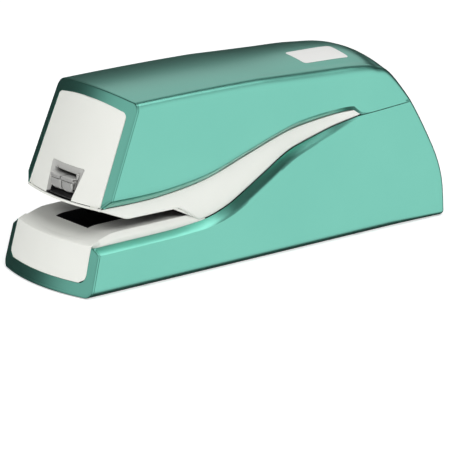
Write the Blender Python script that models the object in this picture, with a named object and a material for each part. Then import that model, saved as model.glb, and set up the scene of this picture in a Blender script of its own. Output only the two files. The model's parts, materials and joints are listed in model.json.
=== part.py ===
"""Battery electric stapler: a bowed metallic cover over a white inner frame, a base with the
anvil, and a motor, gear train, cam and lever that drive one staple through the paper slot.

Axes: the stapling end faces -Y, up is +Z, and the body is symmetric about X = 0.
Every size below is in millimetres. The mesh makers turn them into metres.
"""

import math

import bmesh
import bpy
from mathutils import Matrix, Vector

MM = 0.001

# ---------------------------------------------------------------- driving dimensions
LENGTH = 195.0  # over the bowed front and rear
WIDTH = 60.0  # across the bottom edge
HEIGHT = 79.3  # table to the highest point of the crown
WALL = 2.2  # moulded cover thickness
GAP = 0.3  # clearance between pieces that meet
MAGAZINE_WIDTH = 15.0
CELL_DIAMETER = 14.3
CELL_LENGTH = 50.0
GEAR_MODULE = 0.8
PLATE_THICKNESS = 1.5
TRAVEL = 17.0  # stroke of the driver blade

# Places on the body are written for the sizes above, and move with them.
DESIGN_LENGTH = 195.0
DESIGN_HEIGHT = 79.3
Y_SCALE = LENGTH / DESIGN_LENGTH
Z_SCALE = HEIGHT / DESIGN_HEIGHT
HALF_WIDTH = WIDTH / 2
DRAFT = 0.042  # how far each side wall leans in, per unit of height
BEYOND = 25.0  # how far cutters run past the body


def at(y, z):
    """A place on the side view of the body, scaled with the body's length and height."""
    return (y * Y_SCALE, z * Z_SCALE)


def half_width(z):
    return HALF_WIDTH - DRAFT * z


# ---------------------------------------------------------------- body outlines, side view
SHELL_BOTTOM = 0.4  # the feet lift the shell this far

CROWN_LINE = [at(-97.25 - BEYOND, 78.8), at(-67, 78.9), at(-42, 79.3), at(-20, 79.2), at(0, 78.8)]
CROWN_LINE += [at(20, 77.8), at(38, 76.4), at(52, 74.4), at(62, 71.6)]
REAR_LINE = [at(70.4, 66.7), at(80.6, 53.6), at(88.2, 39.5), at(93.9, 26.8), at(96.6, 16.3)]
REAR_LINE += [at(97.25, 5.0)]
FRONT_LINE = [at(-97.9, -1), at(-97.25, 2), at(-92.5, 21), at(-86.6, 36), at(-69.4, 76), at(-64.6, 86)]

BAND_TOP = [at(-97.25 - BEYOND, 37.2), at(-86, 37.2), at(-70, 36.6), at(-54, 36.9), at(-32, 40)]
BAND_TOP += [at(-9.4, 46.7), at(13.4, 52.9), at(36, 55.1), at(46.5, 54.9), at(50.6, 53.4)]
BAND_BOTTOM = [at(-97.25 - BEYOND, 21.4), at(-60, 21.6), at(-42, 22.2), at(-31, 23.4), at(-21.5, 26.2)]
BAND_BOTTOM += [at(-14.8, 29.4), at(-5.5, 34.4), at(1.4, 38.2), at(8.4, 42.1), at(16.4, 45.2)]
BAND_BOTTOM += [at(36, 49.8), at(50.9, 51.6)]
PARTING_END = at(97.25 + BEYOND, 53.9)

SLOT_ROOF = [at(-97.25 - BEYOND, 35.9), at(-84, 35.9), at(-71, 30.2), at(-44.5, 29.8), at(-35.5, 22.9)]
TRAY_TOP = 24.4 * Z_SCALE
TRAY_CREASE_Y = -77.2 * Y_SCALE
TRAY_REAR_Y = -38.2 * Y_SCALE
ROOF_THICKNESS = 2.0

BOW = 5.4  # how far the middle of the front stands ahead of its corners
CROWN_FRONT, CROWN_REAR = 1.4, 1.2  # how far the middle of the top stands above its edges
SHOULDER_FRONT, SHOULDER_REAR = 4.5, 3.5  # radius along the top edges, a little tighter at the rear


# ---------------------------------------------------------------- scene and materials
def clear_scene():
    for item in list(bpy.data.objects):
        bpy.data.objects.remove(item, do_unlink=True)


def new_collection(name, hidden):
    collection = bpy.data.collections.new(name)
    collection.hide_render = hidden
    bpy.context.scene.collection.children.link(collection)
    return collection


clear_scene()
PARTS = new_collection("electric_stapler", hidden=False)
CUTTERS = new_collection("cutters", hidden=True)

# Finish of each material class: base colour, metallic, roughness.
FINISHES = {
    "teal": ((0.17, 0.56, 0.47, 1), 0.75, 0.3),
    "white": ((0.86, 0.86, 0.82, 1), 0.0, 0.45),
    "grey": ((0.62, 0.63, 0.62, 1), 0.0, 0.5),
    "black": ((0.03, 0.03, 0.035, 1), 0.0, 0.55),
    "chrome": ((0.85, 0.85, 0.86, 1), 1.0, 0.08),
    "steel": ((0.55, 0.56, 0.58, 1), 1.0, 0.35),
    "anvil": ((0.2, 0.19, 0.22, 1), 1.0, 0.35),
    "brass": ((0.78, 0.6, 0.3, 1), 1.0, 0.3),
    "nylon": ((0.8, 0.78, 0.7, 1), 0.0, 0.5),
    "rubber": ((0.04, 0.04, 0.04, 1), 0.0, 0.9),
    "cell": ((0.1, 0.22, 0.5, 1), 0.3, 0.4),
    "board": ((0.03, 0.25, 0.1, 1), 0.0, 0.4),
}


def give_material(obj, finish):
    colour, metallic, roughness = FINISHES[finish]
    material = bpy.data.materials.new(obj.name)
    material.use_nodes = True
    shader = material.node_tree.nodes["Principled BSDF"]
    shader.inputs["Base Color"].default_value = colour
    shader.inputs["Metallic"].default_value = metallic
    shader.inputs["Roughness"].default_value = roughness
    obj.data.materials.append(material)


# ---------------------------------------------------------------- mesh makers
def object_from(name, bm):
    """A cutter object from a bmesh whose coordinates are in millimetres."""
    bmesh.ops.recalc_face_normals(bm, faces=bm.faces)
    bmesh.ops.scale(bm, vec=(MM, MM, MM), verts=bm.verts)
    mesh = bpy.data.meshes.new(name)
    bm.to_mesh(mesh)
    bm.free()
    obj = bpy.data.objects.new(name, mesh)
    obj.display_type = "WIRE"
    obj.hide_render = True
    CUTTERS.objects.link(obj)
    return obj


def make_part(obj, name, finish, origin=(0, 0, 0)):
    """Turns a helper into a named piece, with its origin at the given place in millimetres."""
    CUTTERS.objects.unlink(obj)
    PARTS.objects.link(obj)
    obj.name = name
    obj.data.name = name
    obj.display_type = "TEXTURED"
    obj.hide_render = False
    place = Vector(origin) * MM
    obj.data.transform(Matrix.Translation(-place))
    obj.location = place
    give_material(obj, finish)
    return obj


PLANES = {
    "X": lambda a, b, depth: (depth, a, b),
    "Y": lambda a, b, depth: (a, depth, b),
    "Z": lambda a, b, depth: (a, b, depth),
}


def prism(name, outline, axis, low, high):
    """An outline in the plane across the axis, extruded along it from low to high."""
    bm = bmesh.new()
    place = PLANES[axis]
    face = bm.faces.new([bm.verts.new(place(a, b, low)) for a, b in outline])
    made = bmesh.ops.extrude_face_region(bm, geom=[face])
    moved = [item for item in made["geom"] if isinstance(item, bmesh.types.BMVert)]
    bmesh.ops.translate(bm, verts=moved, vec=Vector(place(0, 0, high - low)))
    return object_from(name, bm)


def box(name, low, high):
    outline = [(low[0], low[1]), (high[0], low[1]), (high[0], high[1]), (low[0], high[1])]
    return prism(name, outline, "Z", low[2], high[2])


def circle(centre, radius, steps):
    return [
        (
            centre[0] + radius * math.cos(2 * math.pi * i / steps),
            centre[1] + radius * math.sin(2 * math.pi * i / steps),
        )
        for i in range(steps)
    ]


def rod(name, axis, centre, radius, low, high, steps=24):
    """A round bar along an axis. The centre is given in the plane across it."""
    return prism(name, circle(centre, radius, steps), axis, low, high)


def rounded_rectangle(x0, z0, x1, z1, radius, steps=4):
    outline = []
    corners = [(x1, z1, 0), (x0, z1, 90), (x0, z0, 180), (x1, z0, 270)]
    for x, z, start in corners:
        cx = x - radius if x == x1 else x + radius
        cz = z - radius if z == z1 else z + radius
        for i in range(steps + 1):
            turn = math.radians(start + 90 * i / steps)
            outline.append((cx + radius * math.cos(turn), cz + radius * math.sin(turn)))
    return outline


def combine(obj, other, operation):
    modifier = obj.modifiers.new(other.name, "BOOLEAN")
    modifier.operation = operation
    modifier.solver = "EXACT"
    modifier.object = other
    return obj


def cut(obj, *others):
    for other in others:
        combine(obj, other, "DIFFERENCE")
    return obj


def keep(obj, *others):
    for other in others:
        combine(obj, other, "INTERSECT")
    return obj


def join(obj, *others):
    for other in others:
        combine(obj, other, "UNION")
    return obj


def smooth_line(points, steps):
    """A curve through the points, with a few steps between neighbours (Catmull-Rom)."""
    line = []
    for i in range(len(points) - 1):
        before = Vector(points[max(i - 1, 0)])
        start = Vector(points[i])
        end = Vector(points[i + 1])
        after = Vector(points[min(i + 2, len(points) - 1)])
        for k in range(steps):
            t = k / steps
            place = 0.5 * (
                2 * start
                + (end - before) * t
                + (2 * before - 5 * start + 4 * end - after) * t * t
                + (3 * start - before - 3 * end + after) * t**3
            )
            line.append(tuple(place))
    line.append(tuple(points[-1]))
    return line


# ---------------------------------------------------------------- the body envelope
CROWN_STEPS = 3  # from the middle of a row to the start of its shoulder
ARC_STEPS = 4
LINE_STEPS = 2


def body_row(place, inward, share, inset):
    """Half of one row across the top, from the middle out to the side wall: (x, depth) pairs."""
    crown = CROWN_FRONT + (CROWN_REAR - CROWN_FRONT) * share
    radius = SHOULDER_FRONT + (SHOULDER_REAR - SHOULDER_FRONT) * share - inset
    foot = place[1] + inward[1] * (crown + radius)
    edge = half_width(foot) - inset - radius
    row = [(edge * i / CROWN_STEPS, crown * (i / CROWN_STEPS) ** 2) for i in range(CROWN_STEPS)]
    for i in range(ARC_STEPS + 1):
        turn = math.radians(90 * i / ARC_STEPS)
        row.append((edge + radius * math.sin(turn), crown + radius * (1 - math.cos(turn))))
    return row


def body_rows(inset, bottom):
    """Rows of points across the body, along its top and down its rear."""
    line = smooth_line(CROWN_LINE + REAR_LINE, LINE_STEPS)
    line += [(line[-1][0], bottom)]
    rows = []
    for i, place in enumerate(line):
        ahead = Vector(line[min(i + 1, len(line) - 1)]) - Vector(line[max(i - 1, 0)])
        if i >= len(line) - 2:
            ahead = Vector((0, -1))
        ahead.normalize()
        inward = Vector((ahead.y, -ahead.x))
        share = min(max(place[0] / LENGTH + 0.5, 0), 1)
        start = Vector(place) + inward * inset
        if i == len(line) - 1:
            start.y = bottom
        half = [(x, *(start + inward * depth)) for x, depth in body_row(start, inward, share, inset)]
        rows.append([(-x, y, z) for x, y, z in half[:0:-1]] + half)
    return rows


def envelope(name, inset, bottom):
    """The whole outside shape, moved in by the inset, with a flat bottom."""
    rows = body_rows(inset, bottom)
    bm = bmesh.new()
    grid = [[bm.verts.new(place) for place in row] for row in rows]
    for near, far in zip(grid, grid[1:]):
        for i in range(len(near) - 1):
            bm.faces.new((near[i], near[i + 1], far[i + 1], far[i]))
    front = rows[0][0][1]
    corner_x = half_width(bottom) - inset
    left = bm.verts.new((-corner_x, front, bottom))
    right = bm.verts.new((corner_x, front, bottom))
    bm.faces.new([row[0] for row in grid] + [left])
    bm.faces.new([row[-1] for row in grid] + [right])
    bm.faces.new(grid[0] + [right, left])
    bm.faces.new(grid[-1] + [right, left])
    body = object_from(name, bm)
    return cut(body, front_cutter(name + "_front", inset))


BOW_STEPS = 5


def front_place(x, line_y):
    return line_y + BOW * (x / HALF_WIDTH) ** 2


def front_cutter(name, inset):
    """Everything ahead of the leaning, bowed front surface."""
    lean = math.hypot(1, (FRONT_LINE[3][0] - FRONT_LINE[4][0]) / (FRONT_LINE[4][1] - FRONT_LINE[3][1]))
    line = [(y + inset * lean, z) for y, z in smooth_line(FRONT_LINE, LINE_STEPS)]
    line = [(line[0][0], -BEYOND)] + line + [(line[-1][0] + BEYOND * 0.4, HEIGHT + BEYOND)]
    reach = HALF_WIDTH + BEYOND
    bm = bmesh.new()
    rows = []
    for y, z in line:
        xs = [reach * i / BOW_STEPS for i in range(-BOW_STEPS, BOW_STEPS + 1)]
        row = [(x, front_place(x, y), z) for x in xs]
        row = [(-reach, -LENGTH, z)] + row + [(reach, -LENGTH, z)]
        rows.append([bm.verts.new(place) for place in row])
    for near, far in zip(rows, rows[1:]):
        for i in range(len(near)):
            after = (i + 1) % len(near)
            bm.faces.new((near[i], near[after], far[after], far[i]))
    bm.faces.new(rows[0])
    bm.faces.new(rows[-1])
    return object_from(name, bm)


# ---------------------------------------------------------------- regions of the side view
SIDE_REACH = HALF_WIDTH + BEYOND
TOP_REACH = HEIGHT + BEYOND
REAR_REACH = PARTING_END[0]
FRONT_REACH = BAND_TOP[0][0]


def raised(line, amount):
    return [(y, z + amount) for y, z in line]


def side_region(name, outline):
    return prism(name, outline, "X", -SIDE_REACH, SIDE_REACH)


def upper_region():
    edge = smooth_line(BAND_TOP, LINE_STEPS) + raised([PARTING_END], GAP / 2)
    return side_region("upper_region", edge + [(REAR_REACH, TOP_REACH), (FRONT_REACH, TOP_REACH)])


def lower_region():
    edge = smooth_line(BAND_BOTTOM, LINE_STEPS) + raised([PARTING_END], -GAP / 2)
    return side_region("lower_region", edge + [(REAR_REACH, -BEYOND), (FRONT_REACH, -BEYOND)])


def band_region():
    """Between the covers, and above the slot roof ahead of the throat."""
    throat_y = SLOT_ROOF[-1][0]
    low = [place for place in smooth_line(BAND_BOTTOM, LINE_STEPS) if place[0] > throat_y + 1]
    top = raised(smooth_line(BAND_TOP, LINE_STEPS)[::-1], -GAP)
    return side_region("band_region", SLOT_ROOF + raised(low, GAP) + top[1:])


def band_hollow_region():
    """The inside of the white frame: above its roof plate, and all of the space behind the throat."""
    roof = raised(SLOT_ROOF[:-1], ROOF_THICKNESS)
    throat = (SLOT_ROOF[-1][0] + ROOF_THICKNESS * 1.2, SLOT_ROOF[-1][1] - BEYOND)
    wall = (throat[0], SLOT_ROOF[-1][1] + ROOF_THICKNESS)
    outline = roof + [wall, throat, (REAR_REACH, throat[1]), (REAR_REACH, TOP_REACH)]
    return side_region("band_hollow_region", outline + [(FRONT_REACH, TOP_REACH)])


# ---------------------------------------------------------------- front openings
PANEL_RIM = 4.7  # teal rim left round the white front panel
PANEL_TOP = 75.0 * Z_SCALE
PANEL_BOTTOM = 37.5 * Z_SCALE
PANEL_RADIUS = 3.0
APRON_BOTTOM = 4.0
APRON_HALF = 25.5 * WIDTH / 60.0
APRON_RADIUS = 3.0


def panel_outline(clearance):
    """The leaning-sided window of the head, seen from the front."""
    low = PANEL_BOTTOM - BEYOND if clearance else PANEL_BOTTOM
    top = PANEL_TOP + clearance
    half_low = half_width(low) - PANEL_RIM + clearance
    half_top = half_width(top) - PANEL_RIM + clearance
    radius = PANEL_RADIUS
    outline = [(-half_low, low), (half_low, low)]
    for start in (0, 90):
        centre = half_top - radius if start == 0 else radius - half_top
        for i in range(5):
            turn = math.radians(start + 90 * i / 4)
            outline.append((centre + radius * math.cos(turn), top - radius + radius * math.sin(turn)))
    return outline


def front_window(name, outline):
    return prism(name, outline, "Y", -LENGTH, -LENGTH * 0.27)


# ---------------------------------------------------------------- magazine sizes
MAGAZINE_HALF = MAGAZINE_WIDTH / 2
SHEET = 0.8  # steel sheet of the channel
MAGAZINE_BOTTOM = 37.4 * Z_SCALE
MAGAZINE_TOP = MAGAZINE_BOTTOM + 8.8
NOSE_HALF = MAGAZINE_HALF + 0.7
NOSE_FRONT_Y = -83.2 * Y_SCALE
BLADE_Y = -67.0 * Y_SCALE
MAGAZINE_REAR_Y = BLADE_Y + 57.0
STAPLE_WIRE = 0.5
STAPLE_LEG = 6.0
BLADE_THICKNESS = 0.6
NOTCH_HALF = NOSE_HALF + 0.4
NOTCH_LOW = MAGAZINE_BOTTOM - 0.4
NOTCH_TOP = MAGAZINE_TOP + 1.4
BEZEL_RIM = 2.0
BEZEL_FLOOR = 1.1

# ---------------------------------------------------------------- base, tray and battery places
TRAY_THICKNESS = 2.2
TRAY_LIP_Z = TRAY_TOP - 3.2  # where the front bevel of the tray starts
TRAY_LIP_Y = -88.0 * Y_SCALE

ANVIL_HALF = 10.8
ANVIL_Y = (-79.2 * Y_SCALE, -61.2 * Y_SCALE)
ANVIL_RISE = 0.6
ANVIL_DEPTH = 1.4

BOSS_PLACES = [(side, y) for side in (-1, 1) for y in (-62.0 * Y_SCALE, 50.0 * Y_SCALE)]
BOSS_RADIUS = 3.4
BOSS_TOP = 14.0
SCREW_RADIUS = 1.4
DOOR_HALF = CELL_DIAMETER + 2.2
DOOR_LOW, DOOR_HIGH = 1.0, 2.8

FOOT_MARGIN = 1.6
FOOT_X_RANGE = (DOOR_HALF + 2 * GAP, HALF_WIDTH - WALL - GAP - FOOT_MARGIN)  # beside the door
FOOT_RADIUS = (FOOT_X_RANGE[1] - FOOT_X_RANGE[0]) / 2
FOOT_POCKET = 1.9
FOOT_X = sum(FOOT_X_RANGE) / 2
FOOT_PLACES = [(sx * FOOT_X, y) for y in (-79.0 * Y_SCALE, 76.0 * Y_SCALE) for sx in (-1, 1)]
FOOT_NAMES = ["foot_front_left", "foot_front_right", "foot_rear_left", "foot_rear_right"]

SCREW_HEAD = 2.6
SCREW_SINK = 1.9
SCREW_NAMES = ["screw_front_left", "screw_rear_left", "screw_front_right", "screw_rear_right"]

CELL_RADIUS = CELL_DIAMETER / 2
CELL_Z = DOOR_HIGH + 0.5 + CELL_RADIUS
CELL_X = CELL_RADIUS + 0.4
CELLS_HALF = CELL_X + CELL_RADIUS
BAY_TOP = CELL_Z + CELL_RADIUS + GAP
BAY_SHEET = 1.2

# The rear wall leans and is bowed, so the cells end where the bay's top corners still clear it.
REAR_HIGH, REAR_LOW = REAR_LINE[3], REAR_LINE[4]
REAR_LEAN = (REAR_LOW[0] - REAR_HIGH[0]) / (REAR_HIGH[1] - REAR_LOW[1])
REAR_WALL_Y = REAR_HIGH[0] + REAR_LEAN * (REAR_HIGH[1] - BAY_TOP - BAY_SHEET)
REAR_SAG = CROWN_REAR * (CELLS_HALF / (HALF_WIDTH - SHOULDER_REAR)) ** 2
CELLS_REAR_Y = REAR_WALL_Y - REAR_SAG - WALL - 1.8
CELLS_FRONT_Y = CELLS_REAR_Y - 2 * CELL_LENGTH - 1.0

# ---------------------------------------------------------------- mechanism places
PIVOT = at(15, 58)
ARM_HALF = 4.0
PLATE_INNER = max(MAGAZINE_HALF + 3.1, 10.6)
PLATE_OUTER = PLATE_INNER + PLATE_THICKNESS
LARGE_TEETH = 36
SMALL_TEETH = 10
LARGE_RADIUS = GEAR_MODULE * LARGE_TEETH / 2
SMALL_RADIUS = GEAR_MODULE * SMALL_TEETH / 2
GEAR_DISTANCE = LARGE_RADIUS + SMALL_RADIUS
GEAR_FACE = 3.2 * WIDTH / 60.0
ROLLER_RADIUS = 4.0
CAM_BASE = 7.0
CAM_CLEARANCE = 0.3
ROLLER = (PIVOT[0] + 40.0 * Y_SCALE, PIVOT[1] - 5.0 * Z_SCALE)
CAM_CENTRE = (ROLLER[0], ROLLER[1] - ROLLER_RADIUS - CAM_BASE - CAM_CLEARANCE)
IDLER = (CAM_CENTRE[0] - GEAR_DISTANCE, CAM_CENTRE[1])
MOTOR_TURN = math.radians(15)
MOTOR = (
    IDLER[0] - GEAR_DISTANCE * math.cos(MOTOR_TURN),
    IDLER[1] - GEAR_DISTANCE * math.sin(MOTOR_TURN),
)
MOTOR_RADIUS = 12.0
STROKE_ANGLE = TRAVEL / (PIVOT[0] - BLADE_Y)  # the arm's swing over one stroke
SHAFT_RADIUS = 2.0
IDLER_SHAFT_RADIUS = 1.5
PIN_RADIUS = 1.2
RUNNING = 0.15  # clearance of a shaft in its hole


# ---------------------------------------------------------------- covers and frame
def build_upper_cover():
    cover = envelope("upper_body", 0, SHELL_BOTTOM)
    hollow = envelope("upper_hollow", WALL, -BEYOND)
    window = front_window("panel_window", panel_outline(GAP))
    cut(keep(cover, upper_region()), hollow, window)
    return make_part(cover, "upper_cover", "teal")


def boss_x(place):
    """A boss stands against the side wall at the height of the base."""
    return math.copysign(half_width(BOSS_TOP) - WALL - BOSS_RADIUS + 1.2, place[0])


def build_lower_shell():
    shell = envelope("lower_body", 0, SHELL_BOTTOM)
    hollow = envelope("lower_hollow", WALL, -BEYOND)
    keep(shell, lower_region())
    door_low = (-DOOR_HALF - GAP, LENGTH * 0.4, -BEYOND)
    cut(shell, box("door_gap", door_low, (DOOR_HALF + GAP, LENGTH, DOOR_HIGH + GAP)), hollow)
    apron = rounded_rectangle(
        -APRON_HALF - GAP, APRON_BOTTOM - GAP, APRON_HALF + GAP, TRAY_TOP + BEYOND, APRON_RADIUS
    )
    cut(shell, front_window("apron_window", apron))
    for i, place in enumerate(BOSS_PLACES):
        centre = (boss_x(place), place[1])
        join(shell, rod(f"boss_{i}", "Z", centre, BOSS_RADIUS, DOOR_HIGH + GAP, BOSS_TOP, 16))
    for i, place in enumerate(BOSS_PLACES):
        centre = (boss_x(place), place[1])
        cut(shell, rod(f"boss_hole_{i}", "Z", centre, SCREW_RADIUS + RUNNING, 0, BOSS_TOP - 2, 12))
    return make_part(shell, "lower_shell", "teal")


TRIGGER_PIVOT = (-50.0 * Y_SCALE, MAGAZINE_BOTTOM - 1.6)
TRIGGER_HALF = 2.0
EXIT_HALF = MAGAZINE_HALF - SHEET


def build_mid_frame():
    frame = envelope("band_body", GAP, SHELL_BOTTOM)
    hollow = envelope("band_hollow", GAP + 2.0, -BEYOND)
    keep(frame, band_region())
    cut(frame, keep(hollow, band_hollow_region()))
    notch = (-NOTCH_HALF - BEZEL_RIM - GAP, -LENGTH, NOTCH_LOW - BEZEL_FLOOR - GAP)
    cut(frame, box("nose_gap", notch, (-notch[0], NOSE_FRONT_Y + 4.5, MAGAZINE_TOP)))
    exit_low = (-EXIT_HALF, BLADE_Y - 1.2, 0)
    cut(frame, box("staple_exit", exit_low, (EXIT_HALF, BLADE_Y + 1.2, MAGAZINE_BOTTOM)))
    trigger_low = (-TRIGGER_HALF - 0.4, TRIGGER_PIVOT[0] - 3.5, 0)
    trigger_high = (TRIGGER_HALF + 0.4, TRIGGER_PIVOT[0] + 4.2, MAGAZINE_BOTTOM)
    cut(frame, box("trigger_gap", trigger_low, trigger_high))
    return make_part(frame, "mid_frame", "white")


def build_front_panel():
    panel = envelope("panel_body", GAP, SHELL_BOTTOM)
    hollow = envelope("panel_hollow", GAP + 2.0, -BEYOND)
    keep(panel, front_window("panel_face", panel_outline(0)))
    notch = rounded_rectangle(
        -NOTCH_HALF - BEZEL_RIM - GAP,
        NOTCH_LOW - BEZEL_FLOOR - GAP,
        NOTCH_HALF + BEZEL_RIM + GAP,
        NOTCH_TOP + BEZEL_RIM + GAP,
        1.0,
    )
    cut(panel, hollow, front_window("panel_notch", notch))
    return make_part(panel, "front_panel", "white")


def build_notch_bezel():
    bezel = envelope("bezel_body", GAP, SHELL_BOTTOM)
    hollow = envelope("bezel_hollow", GAP + 3.2, -BEYOND)
    outer = rounded_rectangle(
        -NOTCH_HALF - BEZEL_RIM, NOTCH_LOW - BEZEL_FLOOR, NOTCH_HALF + BEZEL_RIM, NOTCH_TOP + BEZEL_RIM, 1.0
    )
    inner = rounded_rectangle(-NOTCH_HALF, NOTCH_LOW, NOTCH_HALF, NOTCH_TOP, 0.6)
    keep(bezel, front_window("bezel_face", outer))
    cut(bezel, hollow, front_window("bezel_opening", inner))
    return make_part(bezel, "notch_bezel", "grey")


def tray_section():
    """The tray and its apron seen from the front: bevelled edges above a narrower apron."""
    inside = half_width(TRAY_TOP) - WALL - GAP
    outline = [(inside - 1.4, TRAY_TOP), (inside, TRAY_TOP - 2.4), (inside, TRAY_TOP - 2.9)]
    outline += [(APRON_HALF, TRAY_TOP - 2.9), (APRON_HALF, APRON_BOTTOM + APRON_RADIUS)]
    outline += [(APRON_HALF - APRON_RADIUS * 0.3, APRON_BOTTOM + APRON_RADIUS * 0.3)]
    outline += [(APRON_HALF - APRON_RADIUS, APRON_BOTTOM)]
    return outline + [(-x, z) for x, z in outline[::-1]]


def tray_region(name, drop):
    """Everything below the tray's bevelled top line, lowered by the drop."""
    outline = [(FRONT_REACH, -BEYOND), (FRONT_REACH, TRAY_LIP_Z - drop), (TRAY_LIP_Y, TRAY_LIP_Z - drop)]
    outline += [(TRAY_CREASE_Y, TRAY_TOP - drop), (TRAY_REAR_Y + drop, TRAY_TOP - drop)]
    return side_region(name, outline + [(TRAY_REAR_Y + drop, -BEYOND)])


def build_base_tray():
    tray = envelope("tray_body", GAP, SHELL_BOTTOM)
    keep(tray, tray_region("tray_profile", 0))
    keep(tray, front_section("tray_section", tray_section()))
    under = envelope("tray_hollow", GAP + 2.1, -BEYOND * 2)
    cut(tray, keep(under, tray_region("tray_under", TRAY_THICKNESS)))
    low = (-ANVIL_HALF - GAP, ANVIL_Y[0] - GAP, TRAY_TOP - ANVIL_DEPTH)
    cut(tray, box("anvil_recess", low, (ANVIL_HALF + GAP, ANVIL_Y[1] + GAP, TRAY_TOP + BEYOND)))
    return make_part(tray, "base_tray", "white")


def front_section(name, outline):
    return prism(name, outline, "Y", -LENGTH, 0)


def build_anvil_plate():
    low = (-ANVIL_HALF, ANVIL_Y[0], TRAY_TOP - ANVIL_DEPTH + GAP)
    anvil = box("anvil", low, (ANVIL_HALF, ANVIL_Y[1], TRAY_TOP + ANVIL_RISE))
    for side in (-1, 1):
        centre = (BLADE_Y, TRAY_TOP + ANVIL_RISE + 0.6)
        low_x, high_x = sorted((side * 1.2, side * 6.4))
        cut(anvil, rod(f"clinch_groove_{side}", "X", centre, 1.1, low_x, high_x, 16))
    return make_part(anvil, "anvil_plate", "anvil")


def build_base_plate():
    plate = envelope("plate_body", WALL + GAP, SHELL_BOTTOM)
    slab_low = (-SIDE_REACH, -LENGTH, 0)
    keep(plate, box("plate_slab", slab_low, (SIDE_REACH, LENGTH, DOOR_HIGH)))
    door_low = (-DOOR_HALF - GAP, CELLS_FRONT_Y - 3 - GAP, -BEYOND)
    cut(plate, box("door_opening", door_low, (DOOR_HALF + GAP, LENGTH, BEYOND)))
    for i, place in enumerate(FOOT_PLACES):
        cut(plate, rod(f"foot_pocket_{i}", "Z", place, FOOT_RADIUS + GAP, 0, FOOT_POCKET, 20))
    for i, place in enumerate(BOSS_PLACES):
        centre = (boss_x(place), place[1])
        cut(plate, rod(f"screw_hole_{i}", "Z", centre, SCREW_RADIUS + RUNNING, 0, BEYOND, 12))
        cut(plate, rod(f"screw_sink_{i}", "Z", centre, SCREW_HEAD + GAP, 0, SCREW_SINK, 16))
    return make_part(plate, "base_plate", "grey")


def build_feet():
    for name, place in zip(FOOT_NAMES, FOOT_PLACES):
        foot = rod(name + "_disc", "Z", place, FOOT_RADIUS, 0, FOOT_POCKET - GAP, 20)
        make_part(foot, name, "rubber")


def build_screws():
    for name, place in zip(SCREW_NAMES, BOSS_PLACES):
        centre = (boss_x(place), place[1])
        screw = rod(name + "_head", "Z", centre, SCREW_HEAD, 0.9, SCREW_SINK - GAP, 16)
        join(screw, rod(name + "_shank", "Z", centre, SCREW_RADIUS, 1.2, BOSS_TOP - 3, 12))
        for turn, size in (("a", (1.6, 0.35)), ("b", (0.35, 1.6))):
            low = (centre[0] - size[0], centre[1] - size[1], 0)
            cut(screw, box(f"{name}_slot_{turn}", low, (centre[0] + size[0], centre[1] + size[1], 1.25)))
        make_part(screw, name, "steel")


# ---------------------------------------------------------------- battery bay
def build_cells():
    """Four cells, two side by side and two long, each with its raised contact."""
    for side, sx in (("left", -1), ("right", 1)):
        for end, start in (("front", CELLS_FRONT_Y), ("rear", CELLS_FRONT_Y + CELL_LENGTH + 0.6)):
            name = f"cell_{end}_{side}"
            centre = (sx * CELL_X, CELL_Z)
            cell = rod(name + "_can", "Y", centre, CELL_RADIUS, start + 1.2, start + CELL_LENGTH, 24)
            join(cell, rod(name + "_cap", "Y", centre, 2.7, start, start + 2, 16))
            make_part(cell, name, "cell")


def build_battery_tray():
    """An upside-down trough over the cells, with the two contact walls at its ends."""
    half = CELLS_HALF + GAP + BAY_SHEET
    low_y = CELLS_FRONT_Y - 1.2 - BAY_SHEET
    high_y = CELLS_REAR_Y + 1.0
    tray = box("bay_block", (-half, low_y, DOOR_HIGH + GAP), (half, high_y, BAY_TOP + BAY_SHEET))
    inner_low = (-half + BAY_SHEET, low_y + BAY_SHEET, -BEYOND)
    cut(tray, box("bay_hollow", inner_low, (half - BAY_SHEET, high_y - 0.1 + BEYOND, BAY_TOP)))
    return make_part(tray, "battery_tray", "black")


def build_contacts():
    for name, y in (("contact_front", CELLS_FRONT_Y - 0.9), ("contact_rear", CELLS_REAR_Y + 0.3)):
        low = (-CELL_X - 3, y, CELL_Z - 3)
        plate = box(name + "_plate", low, (CELL_X + 3, y + 0.5, CELL_Z + 3))
        make_part(plate, name, "brass")


def build_battery_door():
    door = envelope("door_body", 0, SHELL_BOTTOM)
    low = (-DOOR_HALF, CELLS_FRONT_Y - 3, DOOR_LOW)
    keep(door, box("door_slab", low, (DOOR_HALF, LENGTH, DOOR_HIGH)))
    for i in range(3):
        y = CELLS_REAR_Y - 6 - 3 * i
        cut(door, box(f"door_grip_{i}", (-7, y, 0), (7, y + 1.2, DOOR_LOW + 0.5)))
    return make_part(door, "battery_door", "grey")


# ---------------------------------------------------------------- motor and gears
def gear_outline(teeth, centre, first_tooth):
    """Stub involute teeth with a 25 degree pressure angle, thinned for backlash."""
    pitch = GEAR_MODULE * teeth / 2
    base = pitch * math.cos(math.radians(25))
    tip = pitch + 0.8 * GEAR_MODULE
    root = pitch - 1.0 * GEAR_MODULE
    low = max(base, root + 0.05)

    def involute(radius):
        ratio = max(radius / base, 1.0)
        return math.sqrt(ratio * ratio - 1) - math.acos(1 / ratio)

    half_tooth = math.pi / (2 * teeth) - 0.045 * GEAR_MODULE / pitch
    flank = [low + (tip - low) * share for share in (0.0, 0.5, 1.0)]
    outline = []
    for i in range(teeth):
        middle = first_tooth + 2 * math.pi * i / teeth
        turns = [half_tooth + involute(pitch) - involute(radius) for radius in flank]
        points = [(root, -turns[0])] + [(r, -t) for r, t in zip(flank, turns)]
        points += [(r, t) for r, t in zip(flank[::-1], turns[::-1])] + [(root, turns[0])]
        for radius, turn in points:
            angle = middle + turn
            outline.append((centre[0] + radius * math.cos(angle), centre[1] + radius * math.sin(angle)))
    return outline


MAIN_GEAR_X = PLATE_OUTER + 0.7
IDLER_LARGE_X = MAIN_GEAR_X + GEAR_FACE + 0.6


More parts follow.
